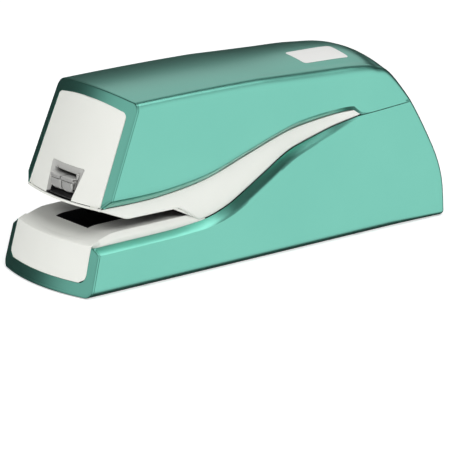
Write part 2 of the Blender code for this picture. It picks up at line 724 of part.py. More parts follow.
def gear(name, teeth, centre, first_tooth, x):
    return prism(name, gear_outline(teeth, centre, first_tooth), "X", x, x + GEAR_FACE)


def build_main_gear():
    wheel = gear("main_wheel", LARGE_TEETH, CAM_CENTRE, math.pi, MAIN_GEAR_X)
    cut(wheel, rod("main_bore", "X", CAM_CENTRE, SHAFT_RADIUS + RUNNING, 0, SIDE_REACH))
    for i in range(5):
        turn = 2 * math.pi * (i + 0.5) / 5
        hole = (CAM_CENTRE[0] + 8.4 * math.cos(turn), CAM_CENTRE[1] + 8.4 * math.sin(turn))
        cut(wheel, rod(f"main_hole_{i}", "X", hole, LARGE_RADIUS * 0.2, 0, SIDE_REACH, 16))
    return make_part(wheel, "main_gear", "nylon", (0, *CAM_CENTRE))


def build_idler_gear():
    small = gear("idler_small", SMALL_TEETH, IDLER, math.pi / SMALL_TEETH, MAIN_GEAR_X)
    hub = rod("idler_hub", "X", IDLER, SMALL_RADIUS * 0.75, MAIN_GEAR_X + 0.5, IDLER_LARGE_X + 0.5)
    large = gear("idler_large", LARGE_TEETH, IDLER, math.pi + MOTOR_TURN, IDLER_LARGE_X)
    join(small, hub, large)
    cut(small, rod("idler_bore", "X", IDLER, IDLER_SHAFT_RADIUS + RUNNING, 0, SIDE_REACH, 16))
    return make_part(small, "idler_gear", "nylon", (0, *IDLER))


def build_motor_pinion():
    first = MOTOR_TURN + math.pi / SMALL_TEETH
    pinion = gear("pinion_wheel", SMALL_TEETH, MOTOR, first, IDLER_LARGE_X)
    hub = rod("pinion_hub", "X", MOTOR, SMALL_RADIUS * 0.7, MAIN_GEAR_X, IDLER_LARGE_X + 0.5)
    join(pinion, hub)
    shaft_end = PLATE_INNER - 0.2
    join(pinion, rod("motor_shaft", "X", MOTOR, 1.0, shaft_end, IDLER_LARGE_X + GEAR_FACE + 0.6, 16))
    return make_part(pinion, "motor_pinion", "brass", (0, *MOTOR))


def build_motor():
    front = PLATE_INNER - GAP
    rear = front - 29.5
    can = rod("motor_can", "X", MOTOR, MOTOR_RADIUS, rear + 3, front - 0.5, 32)
    join(can, rod("motor_cap", "X", MOTOR, MOTOR_RADIUS - 0.8, rear, rear + 4, 32))
    cut(can, rod("motor_mouth", "X", MOTOR, 1.6, front - 3, front + 1, 16))
    return make_part(can, "motor", "steel")


def cam_outline():
    """The cam edge that keeps the roller just clear while arm and cam turn at a steady ratio."""
    steps = 24
    arm = Vector(ROLLER) - Vector(PIVOT)
    outline = []
    for i in range(steps + 1):
        turn = math.pi * i / steps
        swing = STROKE_ANGLE * i / steps
        place = Vector(PIVOT) + Matrix.Rotation(swing, 2) @ arm
        offset = place - Vector(CAM_CENTRE)
        radius = offset.length - ROLLER_RADIUS - CAM_CLEARANCE
        angle = math.atan2(offset.y, offset.x) - turn
        outline.append((radius, angle))
    high, last = outline[-1]
    low, first = outline[0]
    for i in range(1, steps):
        ease = 0.5 - 0.5 * math.cos(math.pi * i / steps)
        angle = last + (first - 2 * math.pi - last) * i / steps
        outline.append((high + (low - high) * ease, angle))
    return [(CAM_CENTRE[0] + r * math.cos(a), CAM_CENTRE[1] + r * math.sin(a)) for r, a in outline]


CAM_HALF = 2.0


def build_drive_cam():
    cam = prism("cam_disc", cam_outline(), "X", -CAM_HALF, CAM_HALF)
    join(cam, rod("cam_hub", "X", CAM_CENTRE, 4.4, -6, 6))
    cut(cam, rod("cam_bore", "X", CAM_CENTRE, SHAFT_RADIUS + RUNNING, -10, 10))
    return make_part(cam, "drive_cam", "steel", (0, *CAM_CENTRE))


def build_shafts():
    reach = PLATE_OUTER + 1.0
    shafts = [
        ("main_shaft", CAM_CENTRE, SHAFT_RADIUS, MAIN_GEAR_X + GEAR_FACE + 0.8),
        ("idler_shaft", IDLER, IDLER_SHAFT_RADIUS, IDLER_LARGE_X + GEAR_FACE + 0.8),
        ("pivot_shaft", PIVOT, SHAFT_RADIUS, reach),
    ]
    for name, centre, radius, end in shafts:
        make_part(rod(name + "_bar", "X", centre, radius, -reach, end), name, "steel", (0, *centre))


# ---------------------------------------------------------------- steel frame
PLATE_LOW = BAY_TOP + BAY_SHEET + 2.5
PLATE_OUTLINE = [at(-60, 33), at(-60, 51), at(4, 63.5), at(22, 64), at(42, 54), at(63, 51)]
PLATE_OUTLINE += [at(65, 36), at(57, 31), (34 * Y_SCALE, PLATE_LOW), (4 * Y_SCALE, PLATE_LOW), at(-6, 33)]


def build_side_plate(name, side):
    low, high = sorted((side * PLATE_INNER, side * PLATE_OUTER))
    plate = prism(name + "_sheet", PLATE_OUTLINE, "X", low, high)
    holes = [("main", CAM_CENTRE, SHAFT_RADIUS), ("idler", IDLER, IDLER_SHAFT_RADIUS)]
    holes += [("pivot", PIVOT, SHAFT_RADIUS), ("motor", MOTOR, MOTOR_RADIUS + GAP if side < 0 else 3.0)]
    for label, centre, radius in holes:
        cutter = rod(f"{name}_{label}", "X", centre, radius + RUNNING, -SIDE_REACH, SIDE_REACH)
        cut(plate, cutter)
    lightening = [at(-46, 36.5), at(-46, 47), at(-14, 53), at(-14, 36.5)]
    cut(plate, prism(name + "_window", lightening, "X", -SIDE_REACH, SIDE_REACH))
    return make_part(plate, name, "steel")


BRIDGE_Y = (MAGAZINE_REAR_Y + 2.0, MOTOR[0] - MOTOR_RADIUS - 3.3)
BRIDGE_TOP = 43.0 * Z_SCALE


def build_frame_bridge():
    half = PLATE_INNER - GAP
    low = (-half, BRIDGE_Y[0], BRIDGE_TOP - 2)
    return make_part(box("bridge", low, (half, BRIDGE_Y[1], BRIDGE_TOP)), "frame_bridge", "steel")


# ---------------------------------------------------------------- driver
ARM_TIP_Y = BLADE_Y - 2.4
ARM_TIP_LOW = 64.0 * Z_SCALE
ARM_TIP_TOP = ARM_TIP_LOW + 3.4
FORK_PLAY = 0.7  # the tip swings on an arc while the blade slides straight
ARM_UNDER = [(PIVOT[0] - 5, PIVOT[1] - SHAFT_RADIUS - 2.2), (PIVOT[0] - 25 * Y_SCALE, PIVOT[1] - 0.6)]
NECK_HALF = 1.5
FORK_HALF = NECK_HALF + 0.4
BLADE_BAR_HALF = 3.4


def build_driver_arm():
    boss_top = PIVOT[1] + SHAFT_RADIUS + 2.6
    end_top, end_low = ROLLER[1] + ROLLER_RADIUS + 3.4, ROLLER[1] - PIN_RADIUS - 1.4
    top = [(ARM_TIP_Y, ARM_TIP_TOP - 1), (BLADE_Y, ARM_TIP_TOP), (PIVOT[0] - 5, boss_top)]
    top += [(PIVOT[0] + 5, boss_top), (ROLLER[0] - 6, end_top), (ROLLER[0] + 6, end_top)]
    low = [(ROLLER[0] + 6, end_low), (ROLLER[0] - 7, end_low), (PIVOT[0] + 5, ARM_UNDER[0][1])]
    low += [*ARM_UNDER, (BLADE_Y + 4, ARM_TIP_LOW), (ARM_TIP_Y, ARM_TIP_LOW)]
    arm = prism("arm_bar", top + low, "X", -ARM_HALF, ARM_HALF)
    cut(arm, rod("arm_pivot", "X", PIVOT, SHAFT_RADIUS + RUNNING, -10, 10))
    cut(arm, rod("arm_pin", "X", ROLLER, PIN_RADIUS + RUNNING, -10, 10, 16))
    slot_low = (-CAM_HALF - 0.4, ROLLER[0] - 11, ROLLER[1] - 10)
    cut(arm, box("arm_slot", slot_low, (CAM_HALF + 0.4, ROLLER[0] + 11, ROLLER[1] + ROLLER_RADIUS + 0.6)))
    fork_low = (-FORK_HALF, ARM_TIP_Y - 1, ARM_TIP_LOW - 5)
    cut(arm, box("arm_fork", fork_low, (FORK_HALF, BLADE_Y + 2, ARM_TIP_TOP + 5)))
    return make_part(arm, "driver_arm", "steel", (0, *PIVOT))


def build_roller():
    roller = rod("roller_ring", "X", ROLLER, ROLLER_RADIUS, -CAM_HALF, CAM_HALF, 32)
    cut(roller, rod("roller_bore", "X", ROLLER, PIN_RADIUS + RUNNING, -10, 10, 16))
    make_part(roller, "cam_roller", "steel", (0, *ROLLER))
    pin = rod("roller_pin_bar", "X", ROLLER, PIN_RADIUS, -ARM_HALF, ARM_HALF, 16)
    make_part(pin, "roller_pin", "steel", (0, *ROLLER))


STAPLE_TOP = MAGAZINE_TOP - 1.4
BLADE_HALF = EXIT_HALF - 0.4
PUSHER_TOP = STAPLE_TOP + 0.4
BLADE_REST = PUSHER_TOP + GAP  # the pusher passes under the blade when the magazine slides out


def build_driver_blade():
    """A thin plate with a neck that the arm's fork holds, and a bar above the fork."""
    shoulder = ARM_TIP_LOW - FORK_PLAY
    neck = ARM_TIP_TOP + FORK_PLAY
    outline = [(BLADE_HALF, BLADE_REST), (BLADE_HALF, shoulder), (NECK_HALF, shoulder), (NECK_HALF, neck)]
    outline += [(BLADE_BAR_HALF, neck), (BLADE_BAR_HALF, neck + 1.2)]
    outline += [(-x, z) for x, z in outline[::-1]]
    half = BLADE_THICKNESS / 2
    blade = prism("blade_plate", outline, "Y", BLADE_Y - half, BLADE_Y + half)
    return make_part(blade, "driver_blade", "steel")


def coil(name, axis, start, end, centre, radius, wire, turns):
    """A helical spring along an axis, as a bevelled curve with filled ends."""
    steps = turns * 12
    curve = bpy.data.curves.new(name, "CURVE")
    curve.dimensions = "3D"
    spline = curve.splines.new("POLY")
    spline.points.add(steps)
    low, high = start + wire, end - wire
    for i in range(steps + 1):
        turn = 2 * math.pi * i / 12
        a = centre[0] + radius * math.cos(turn)
        b = centre[1] + radius * math.sin(turn)
        place = PLANES[axis](a, b, low + (high - low) * i / steps)
        spline.points[i].co = (*(Vector(place) * MM), 1)
    curve.bevel_depth = wire * MM
    curve.bevel_resolution = 0
    curve.use_fill_caps = True
    helper = bpy.data.objects.new(name + "_curve", curve)
    CUTTERS.objects.link(helper)
    mesh = bpy.data.meshes.new_from_object(helper)
    bpy.data.objects.remove(helper, do_unlink=True)
    bm = bmesh.new()
    bm.from_mesh(mesh)
    bmesh.ops.remove_doubles(bm, verts=bm.verts, dist=1e-5)
    bmesh.ops.scale(bm, vec=(1 / MM, 1 / MM, 1 / MM), verts=bm.verts)
    return object_from(name, bm)


SPRING_COIL, SPRING_WIRE = 2.6, 0.35
SPRING_Y = BRIDGE_Y[0] + (BRIDGE_Y[1] - BRIDGE_Y[0]) * 0.35


def arm_under_z(y):
    """The height of the arm's sloping underside ahead of the pivot."""
    (rear_y, rear_z), (front_y, front_z) = ARM_UNDER
    return rear_z + (front_z - rear_z) * (rear_y - y) / (rear_y - front_y)


SPRING_TOP = arm_under_z(SPRING_Y + SPRING_COIL + SPRING_WIRE) - GAP


def build_return_spring():
    reach = (BRIDGE_TOP + GAP, SPRING_TOP)
    spring = coil("return_coil", "Z", *reach, (0, SPRING_Y), SPRING_COIL, SPRING_WIRE, 6)
    return make_part(spring, "return_spring", "steel")


# ---------------------------------------------------------------- magazine
RAIL_HALF = EXIT_HALF - STAPLE_WIRE - 2 * GAP - 0.1
RAIL_TOP = STAPLE_TOP - STAPLE_WIRE - GAP
RAIL_LOW = MAGAZINE_BOTTOM + SHEET + GAP
STRIP_FRONT_Y = BLADE_Y + BLADE_THICKNESS / 2 + GAP
STRIP_REAR_Y = STRIP_FRONT_Y + 24.0
ROD_Z = (RAIL_LOW + RAIL_TOP) / 2 + 0.3


def build_magazine_channel():
    block_low = (-MAGAZINE_HALF, NOSE_FRONT_Y + 1.5, MAGAZINE_BOTTOM)
    channel = box("channel_block", block_low, (MAGAZINE_HALF, MAGAZINE_REAR_Y, MAGAZINE_TOP))
    inner_low = (-EXIT_HALF, -LENGTH, MAGAZINE_BOTTOM + SHEET)
    cut(channel, box("channel_hollow", inner_low, (EXIT_HALF, MAGAZINE_REAR_Y - SHEET, TOP_REACH)))
    exit_low = (-EXIT_HALF + 0.2, BLADE_Y - 1.0, 0)
    cut(channel, box("channel_exit", exit_low, (EXIT_HALF - 0.2, BLADE_Y + 1.0, MAGAZINE_BOTTOM + 3)))
    return make_part(channel, "magazine_channel", "chrome")


def build_magazine_nose():
    """The visible front of the magazine: two bright lobes, and the block ahead of the blade."""
    block_front = NOSE_FRONT_Y + 1.0
    nose = box(
        "nose_plate",
        (-NOSE_HALF, block_front, MAGAZINE_BOTTOM),
        (NOSE_HALF, block_front + 0.4, MAGAZINE_TOP - 0.6),
    )
    for side in (-1, 1):
        centre = (side * (NOSE_HALF / 2 + 0.15), block_front + 2.8)
        lobe = rod(f"lobe_{side}", "Z", centre, 4.0, MAGAZINE_BOTTOM, MAGAZINE_TOP - 0.2, 24)
        front_half = box(
            f"lobe_front_{side}",
            (side * 20 if side < 0 else 0.3, NOSE_FRONT_Y - 5, 0),
            (-0.3 if side < 0 else side * 20, block_front + 0.2, TOP_REACH),
        )
        join(nose, keep(lobe, front_half))
    guide_low = (-EXIT_HALF + GAP, block_front + 0.2, MAGAZINE_BOTTOM + SHEET + GAP)
    guide_rear = BLADE_Y - BLADE_THICKNESS / 2 - GAP
    join(nose, box("nose_guide", guide_low, (EXIT_HALF - GAP, guide_rear, RAIL_TOP)))
    return make_part(nose, "magazine_nose", "chrome")


def build_staple_rail():
    """The trough that the staples straddle, with the pusher's spring inside."""
    rail_front = STRIP_FRONT_Y + 0.1
    rail_rear = MAGAZINE_REAR_Y - SHEET - GAP
    rail = box("rail_block", (-RAIL_HALF, rail_front, RAIL_LOW), (RAIL_HALF, rail_rear, RAIL_TOP))
    low = (-RAIL_HALF + 1, rail_front + 1, RAIL_LOW + 0.8)
    cut(rail, box("rail_hollow", low, (RAIL_HALF - 1, rail_rear - 1, TOP_REACH)))
    return make_part(rail, "staple_rail", "steel")


def saddle(name, reach, inner, legs_low, under, top):
    """A block astride the rail, as wide as the channel lets it be: a crown with two legs."""
    outer = EXIT_HALF - GAP
    outline = [(outer, legs_low), (outer, top), (-outer, top), (-outer, legs_low)]
    outline += [(-inner, legs_low), (-inner, under), (inner, under), (inner, legs_low)]
    return prism(name, outline, "Y", *reach)


def build_staple_strip():
    reach = (STRIP_FRONT_Y, STRIP_REAR_Y)
    inner = EXIT_HALF - GAP - STAPLE_WIRE
    under = STAPLE_TOP - STAPLE_WIRE
    strip = saddle("staples", reach, inner, STAPLE_TOP - STAPLE_LEG, under, STAPLE_TOP)
    return make_part(strip, "staple_strip", "steel")


PUSHER_LENGTH = 9.0
PUSHER_FRONT_Y = STRIP_REAR_Y + GAP


def build_pusher():
    rear = PUSHER_FRONT_Y + PUSHER_LENGTH
    reach = (PUSHER_FRONT_Y, rear)
    pusher = saddle("pusher_saddle", reach, RAIL_HALF + GAP, RAIL_LOW + 1, RAIL_TOP + GAP, PUSHER_TOP)
    lug_low = (-RAIL_HALF + 1 + GAP, PUSHER_FRONT_Y, RAIL_LOW + 0.8 + GAP)
    join(pusher, box("pusher_lug", lug_low, (RAIL_HALF - 1 - GAP, rear, RAIL_TOP + GAP + 0.2)))
    cut(pusher, rod("pusher_bore", "Y", (0, ROD_Z), 0.7 + RUNNING, -LENGTH, LENGTH, 12))
    return make_part(pusher, "pusher", "black")


def build_pusher_drive():
    rail_front = STRIP_FRONT_Y + 1.1 + GAP
    rail_rear = MAGAZINE_REAR_Y - SHEET - GAP - 1 - GAP
    guide = rod("pusher_rod_bar", "Y", (0, ROD_Z), 0.7, rail_front, rail_rear, 12)
    make_part(guide, "pusher_rod", "steel")
    start = PUSHER_FRONT_Y + PUSHER_LENGTH + GAP
    spring = coil("pusher_coil", "Y", start, rail_rear, (0, ROD_Z), 1.5, 0.25, 8)
    make_part(spring, "pusher_spring", "steel")


# ---------------------------------------------------------------- trigger and electronics
TRIGGER_TIP_Z = TRAY_TOP + 1.0


def build_trigger():
    y, z = TRIGGER_PIVOT
    outline = [(y + 1.3, z + 0.9), (y - 1.3, z + 0.9), (y - 1.5, z - 2), (y - 2.2, TRIGGER_TIP_Z)]
    outline += [(y - 0.8, TRIGGER_TIP_Z), (y + 0.6, z - 2.5), (y + 1.5, z - 0.5)]
    lever = prism("trigger_paddle", outline, "X", -TRIGGER_HALF, TRIGGER_HALF)
    cut(lever, rod("trigger_bore", "X", (y, z), 0.5 + 0.1, -10, 10, 12))
    make_part(lever, "trigger_lever", "black", (0, y, z))
    pin = rod("trigger_pin_bar", "X", (y, z), 0.5, -TRIGGER_HALF - 1.4, TRIGGER_HALF + 1.4, 12)
    make_part(pin, "trigger_pin", "steel")


def build_microswitch():
    y = TRIGGER_PIVOT[0] + 4.8
    low_z = SLOT_ROOF[2][1] + ROOF_THICKNESS + GAP
    switch = box("switch_case", (-3, y, low_z), (3, y + 9, MAGAZINE_BOTTOM - GAP))
    join(switch, rod("switch_button", "Y", (0, TRIGGER_PIVOT[1] - 2.2), 0.7, y - 1.8, y + 1, 12))
    return make_part(switch, "microswitch", "black")


BOARD_HALF = HALF_WIDTH * 0.6
BOARD_Z = 8.0
BOARD_THICKNESS = 1.6


def build_circuit_board():
    top_z = BOARD_Z + BOARD_THICKNESS
    low = (-BOARD_HALF, -72 * Y_SCALE, BOARD_Z)
    board = box("board_sheet", low, (BOARD_HALF, CELLS_FRONT_Y - 6, top_z))
    chips = [(-0.5, -50, 8, 6, 2.2), (0.44, -52, 5, 5, 1.6), (0.33, -34, 9, 4, 3.0), (-0.55, -30, 4, 8, 5.0)]
    for i, (share, y, wide, deep, tall) in enumerate(chips):
        x = BOARD_HALF * share
        chip_low = (x - wide / 2, y * Y_SCALE - deep / 2, top_z - 0.6)
        join(board, box(f"chip_{i}", chip_low, (x + wide / 2, y * Y_SCALE + deep / 2, top_z + tall)))
    return make_part(board, "circuit_board", "board")


# ---------------------------------------------------------------- label
LABEL_X = (2.0, 15.0)
LABEL_Y = (33.0, 56.0)
LABEL_LIFT = (0.12, 0.4)  # its two faces, above the cover


def build_label():
    outline = rounded_rectangle(LABEL_X[0], LABEL_Y[0] * Y_SCALE, LABEL_X[1], LABEL_Y[1] * Y_SCALE, 3.0)
    label = envelope("label_body", -LABEL_LIFT[1], SHELL_BOTTOM)
    keep(label, prism("label_outline", outline, "Z", HEIGHT * 0.7, TOP_REACH))
    cut(label, envelope("label_under", -LABEL_LIFT[0], -BEYOND))
    return make_part(label, "label", "white")


build_upper_cover()
build_lower_shell()
build_mid_frame()
build_front_panel()
build_notch_bezel()
build_base_tray()
build_anvil_plate()
build_base_plate()
build_feet()
build_screws()
build_cells()
build_battery_tray()
build_contacts()
build_battery_door()
build_main_gear()
build_idler_gear()
build_motor_pinion()
build_motor()
build_drive_cam()
build_shafts()
build_side_plate("side_plate_left", -1)
build_side_plate("side_plate_right", 1)
build_frame_bridge()
build_driver_arm()
build_roller()
build_driver_blade()
build_return_spring()
build_magazine_channel()
build_magazine_nose()
build_staple_rail()
build_staple_strip()
build_pusher()
build_pusher_drive()
build_trigger()
build_microswitch()
build_circuit_board()
build_label()
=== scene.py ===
# %% [markdown]
# # An electric stapler, built around its CAD frame
# The stapler has two glossy metallic covers over a white inner frame. Each cover is a thin moulded
# shell whose surface bends slowly, so it is drawn here as a grid of points worked out from a few
# side-view lines. A grid like that shades more smoothly than a boolean cut would.

# %% Load the frame
import json
import math
import bmesh
import bpy
import numpy as np
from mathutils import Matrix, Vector


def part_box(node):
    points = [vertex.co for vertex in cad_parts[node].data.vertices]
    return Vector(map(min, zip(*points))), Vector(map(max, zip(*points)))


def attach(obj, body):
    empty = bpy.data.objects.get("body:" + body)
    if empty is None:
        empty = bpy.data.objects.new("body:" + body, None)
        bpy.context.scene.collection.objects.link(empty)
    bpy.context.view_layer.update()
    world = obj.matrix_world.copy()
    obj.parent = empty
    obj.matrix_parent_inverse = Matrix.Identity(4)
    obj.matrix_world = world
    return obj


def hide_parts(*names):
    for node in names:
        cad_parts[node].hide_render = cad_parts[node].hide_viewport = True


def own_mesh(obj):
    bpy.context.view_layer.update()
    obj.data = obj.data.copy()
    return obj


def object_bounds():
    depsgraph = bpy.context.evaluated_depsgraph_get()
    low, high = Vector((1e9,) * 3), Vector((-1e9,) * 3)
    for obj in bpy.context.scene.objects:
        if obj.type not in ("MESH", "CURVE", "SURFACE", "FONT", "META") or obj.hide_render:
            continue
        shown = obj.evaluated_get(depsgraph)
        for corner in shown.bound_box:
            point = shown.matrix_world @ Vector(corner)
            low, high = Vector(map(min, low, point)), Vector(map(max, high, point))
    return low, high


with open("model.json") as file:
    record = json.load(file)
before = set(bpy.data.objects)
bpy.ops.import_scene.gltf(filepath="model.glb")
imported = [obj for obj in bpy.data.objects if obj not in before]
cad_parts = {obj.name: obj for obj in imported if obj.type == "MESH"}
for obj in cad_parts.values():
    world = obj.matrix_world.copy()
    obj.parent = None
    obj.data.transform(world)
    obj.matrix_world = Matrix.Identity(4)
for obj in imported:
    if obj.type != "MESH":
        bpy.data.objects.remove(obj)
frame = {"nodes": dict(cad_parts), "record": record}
frame_low, frame_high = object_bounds()
MM = 0.001
LENGTH = frame_high.y - frame_low.y
HEIGHT = frame_high.z - frame_low.z
HALF_WIDTH = (frame_high.x - frame_low.x) / 2
print("frame size, mm:", [round(v / MM, 1) for v in (2 * HALF_WIDTH, LENGTH, HEIGHT)])

# %% [markdown]
# ## The side-view lines
# Seen from the side, the body is a few smooth lines: the crown, the rear, the leaning front, the
# two edges of the white band and the roof of the paper slot. They are written in millimetres for
# the frame's own size and scaled to it, then sampled as smooth curves.

# %% Side-view lines
DESIGN_LENGTH, DESIGN_HEIGHT = 194.9, 79.3
Y_SCALE = LENGTH / DESIGN_LENGTH
Z_SCALE = HEIGHT / DESIGN_HEIGHT


def smooth_line(points, steps=16):
    """A Catmull-Rom curve through the (y, z) points, scaled to the frame."""
    knots = np.array([(y * Y_SCALE, z * Z_SCALE) for y, z in points])
    line = []
    for i in range(len(knots) - 1):
        before, start = knots[max(i - 1, 0)], knots[i]
        end, after = knots[i + 1], knots[min(i + 2, len(knots) - 1)]
        for t in np.arange(steps) / steps:
            bend = (2 * before - 5 * start + 4 * end - after) * t * t
            twist = (3 * start - before - 3 * end + after) * t**3
            line.append(0.5 * (2 * start + (end - before) * t + bend + twist))
    line.append(knots[-1])
    return np.array(line)


CROWN_POINTS = [(-122, 79.2), (-67, 79.2), (-42, 79.0), (-20, 78.6), (0, 78.0), (20, 77.4), (38, 76.9)]
CROWN_POINTS += [(52, 76.2), (62, 74.6)]
REAR_POINTS = [(70.4, 69.4), (80.6, 53.8), (88.2, 39.5), (93.9, 26.8)]
REAR_POINTS += [(96.6, 16.3), (97.2, 6.0), (97.2, 0.4)]
FRONT_POINTS = [(-97.9, -1), (-97.15, 2), (-91.9, 21), (-86.5, 36), (-69.4, 76), (-64.6, 86)]
BAND_TOP_POINTS = [(-122, 35.7), (-83, 35.7), (-67, 35.4), (-51, 35.8), (-29, 38.6), (-6.6, 45.2)]
BAND_TOP_POINTS += [(16, 51.5), (37.7, 54.4), (47, 54.8)]
BAND_LOW_POINTS = [(-122, 20.1), (-57, 20.3), (-39, 20.9), (-28, 22.1), (-18.7, 24.9), (-12, 28.1)]
BAND_LOW_POINTS += [(-2.7, 33.1), (4.2, 36.9), (11.2, 40.8), (19, 43.9), (37.7, 49.1), (50.9, 51.8)]
body_line = smooth_line(CROWN_POINTS + REAR_POINTS)
front_line = smooth_line(FRONT_POINTS)
band_top_line = smooth_line(BAND_TOP_POINTS)
band_low_line = smooth_line(BAND_LOW_POINTS)
PARTING = np.array([(50.9, 51.8), (62, 52.3), (80, 53.2), (122, 53.9)]) * (Y_SCALE, Z_SCALE)
BAND_END_Y = 50.9 * Y_SCALE
SLOT_ROOF = np.array([(-122, 35.9), (-83, 35.4), (-68.5, 28.9), (-42, 28.5), (-33, 21.6)])
SLOT_ROOF = SLOT_ROOF * (Y_SCALE, Z_SCALE)
HEAD_TOP_Z = 78.5 * Z_SCALE  # where the leaning front meets the crown
CROWN_SAMPLES = 120  # the first samples of body_line, ahead of its turn downwards
DRAFT = 0.042  # how much each side wall leans in, per unit of height
BOW = 5.4 * MM  # how far the sides of the front lie behind its middle


def half_width(z):
    return HALF_WIDTH - DRAFT * z


def front_y(x, z):
    """The leaning, bowed front surface."""
    return np.interp(z, front_line[:, 1], front_line[:, 0]) + BOW * (x / HALF_WIDTH) ** 2


def crown_z_at(y):
    return np.interp(y, body_line[:CROWN_SAMPLES, 0], body_line[:CROWN_SAMPLES, 1])


def parting_z(y):
    return np.interp(y, PARTING[:, 0], PARTING[:, 1])


def band_top_z(y):
    return np.interp(y, band_top_line[:, 0], band_top_line[:, 1])


def band_low_z(y):
    return np.interp(y, band_low_line[:, 0], band_low_line[:, 1])


print("lines sampled:", len(body_line), "points on the crown and rear")

# %% [markdown]
# ## Helpers that turn rows of points into a moulded piece
# Every visible moulding is symmetric, so only its right half is drawn. A Mirror modifier makes the
# left half and Solidify gives the wall its thickness. Only the anvil plate gets a small Bevel on its
# edges.

# %% Grid helpers
CROWN_STEPS, ARC_STEPS, WALL_STEPS = 10, 10, 12


def mesh_from(name, vertices, faces):
    mesh = bpy.data.meshes.new(name)
    mesh.from_pydata([tuple(v) for v in vertices], [], faces)
    mesh.update()
    obj = bpy.data.objects.new(name, mesh)
    bpy.context.scene.collection.objects.link(obj)
    mesh.shade_smooth()
    return obj


def weld(obj):
    """Joins points that share a place and turns every face outwards."""
    bm = bmesh.new()
    bm.from_mesh(obj.data)
    bmesh.ops.remove_doubles(bm, verts=bm.verts, dist=2e-6)
    bmesh.ops.dissolve_degenerate(bm, edges=bm.edges, dist=1e-6)
    bmesh.ops.recalc_face_normals(bm, faces=bm.faces)
    bm.to_mesh(obj.data)
    bm.free()


def grid_piece(name, *grids):
    """One mesh from several grids of points. Rows that meet share their points."""
    vertices, faces = [], []
    for rows in grids:
        start, wide = len(vertices), len(rows[0])
        for row in rows:
            vertices += [Vector(place) for place in row]
        for r in range(len(rows) - 1):
            for c in range(wide - 1):
                a = start + r * wide + c
                faces.append((a, a + 1, a + wide + 1, a + wide))
    obj = mesh_from(name, vertices, faces)
    weld(obj)
    return obj


def point_outwards(obj, outward):
    """Flips an open half if its largest side faces away from the given direction."""
    facing = 0
    for polygon in obj.data.polygons:
        facing += polygon.area * polygon.normal.dot(Vector(outward))
    if facing < 0:
        obj.data.flip_normals()


def add_bevel(obj, width, angle=40, segments=3):
    bevel = obj.modifiers.new("bevel", "BEVEL")
    bevel.width = width
    bevel.segments = segments
    bevel.limit_method = "ANGLE"
    bevel.angle_limit = math.radians(angle)
    bevel.harden_normals = True


def settle_mesh(obj, crease=30):
    """Writes the modifiers into the mesh, and marks the edges that stay crisp."""
    graph = bpy.context.evaluated_depsgraph_get()
    mesh = bpy.data.meshes.new_from_object(obj.evaluated_get(graph))
    obj.modifiers.clear()
    obj.data = mesh
    mesh.shade_smooth()
    mesh.set_sharp_from_angle(angle=math.radians(crease))


def mould(obj, thickness, outward):
    """Half a skin becomes a whole moulding: mirrored, and given its wall."""
    point_outwards(obj, outward)
    mirror = obj.modifiers.new("mirror", "MIRROR")
    mirror.use_clip = True
    mirror.merge_threshold = 1e-5
    wall = obj.modifiers.new("wall", "SOLIDIFY")
    wall.thickness = thickness
    wall.offset = -1
    settle_mesh(obj)


NODE_BODY = {node: body for body, nodes in frame["record"]["behaviour"]["bodies"].items() for node in nodes}
NODE_SLOT = {row["node"]: row["material_slot"] for row in frame["record"]["subparts"]}


def stand_for(obj, node):
    """The finer piece rides with its CAD node's body and is shown in place of the node."""
    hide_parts(node)
    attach(obj, NODE_BODY[node])
    return obj


# %% [markdown]
# ## Rows across the body
# Each row crosses the top from the middle to the side wall: a shallow crown, then a rounded
# shoulder. The row lies square to the crown line, so it turns with the line and goes on down the
# rear of the stapler.

# %% Rows across the top and rear
CROWN_Y = np.array([-97, 0, 34, 64, 80, 97]) * Y_SCALE
CROWN_RISE = np.array([2.2, 1.8, 3.0, 3.8, 1.4, 0.9]) * MM
SHOULDER_RADIUS = np.array([3.6, 5.0, 5.6, 5.0, 2.4, 2.0]) * MM


def crown_at(y):
    return np.interp(y, CROWN_Y, CROWN_RISE)


def shoulder_at(y):
    return np.interp(y, CROWN_Y, SHOULDER_RADIUS)


def half_row(crown, radius, edge):
    """(x, depth) pairs from the middle out to the side wall."""
    row = [(edge * i / CROWN_STEPS, crown * (i / CROWN_STEPS) ** 2) for i in range(CROWN_STEPS)]
    for i in range(ARC_STEPS + 1):
        turn = math.pi / 2 * i / ARC_STEPS
        row.append((edge + radius * math.sin(turn), crown + radius * (1 - math.cos(turn))))
    return row


def body_row(index):
    """The row that starts at one sample of the crown and rear line."""
    y, z = body_line[index]
    tangent = body_line[min(index + 1, len(body_line) - 1)] - body_line[max(index - 1, 0)]
    if index > len(body_line) - 3:
        tangent = np.array((0, -1))
    tangent = tangent / np.linalg.norm(tangent)
    inward = np.array((tangent[1], -tangent[0]))
    crown, radius = crown_at(y), shoulder_at(y)
    edge = half_width(z + inward[1] * (crown + radius)) - radius
    return [(x, y + inward[0] * d, z + inward[1] * d) for x, d in half_row(crown, radius, edge)]


body_rows = np.array([body_row(i) for i in range(len(body_line))])
BLEND_Y = -20 * Y_SCALE  # ahead of it, rows lean gradually until they lie on the front surface
blend_index = int(np.argmin(abs(body_line[:, 0] - BLEND_Y)))
LANES = body_rows.shape[1]


def lane_place(lane, index):
    """A place along one lane of the rows, at a fractional row number."""
    below = int(min(max(index, 0), len(body_rows) - 2))
    share = index - below
    return body_rows[below, lane] * (1 - share) + body_rows[below + 1, lane] * share


def parting_index(lane):
    """Where a lane crosses the parting line between the covers."""
    for i in range(blend_index, len(body_rows) - 1):
        gap_here = body_rows[i, lane, 2] - parting_z(body_rows[i, lane, 1])
        gap_next = body_rows[i + 1, lane, 2] - parting_z(body_rows[i + 1, lane, 1])
        if gap_here >= 0 > gap_next:
            return i + gap_here / (gap_here - gap_next)
    return len(body_rows) - 2


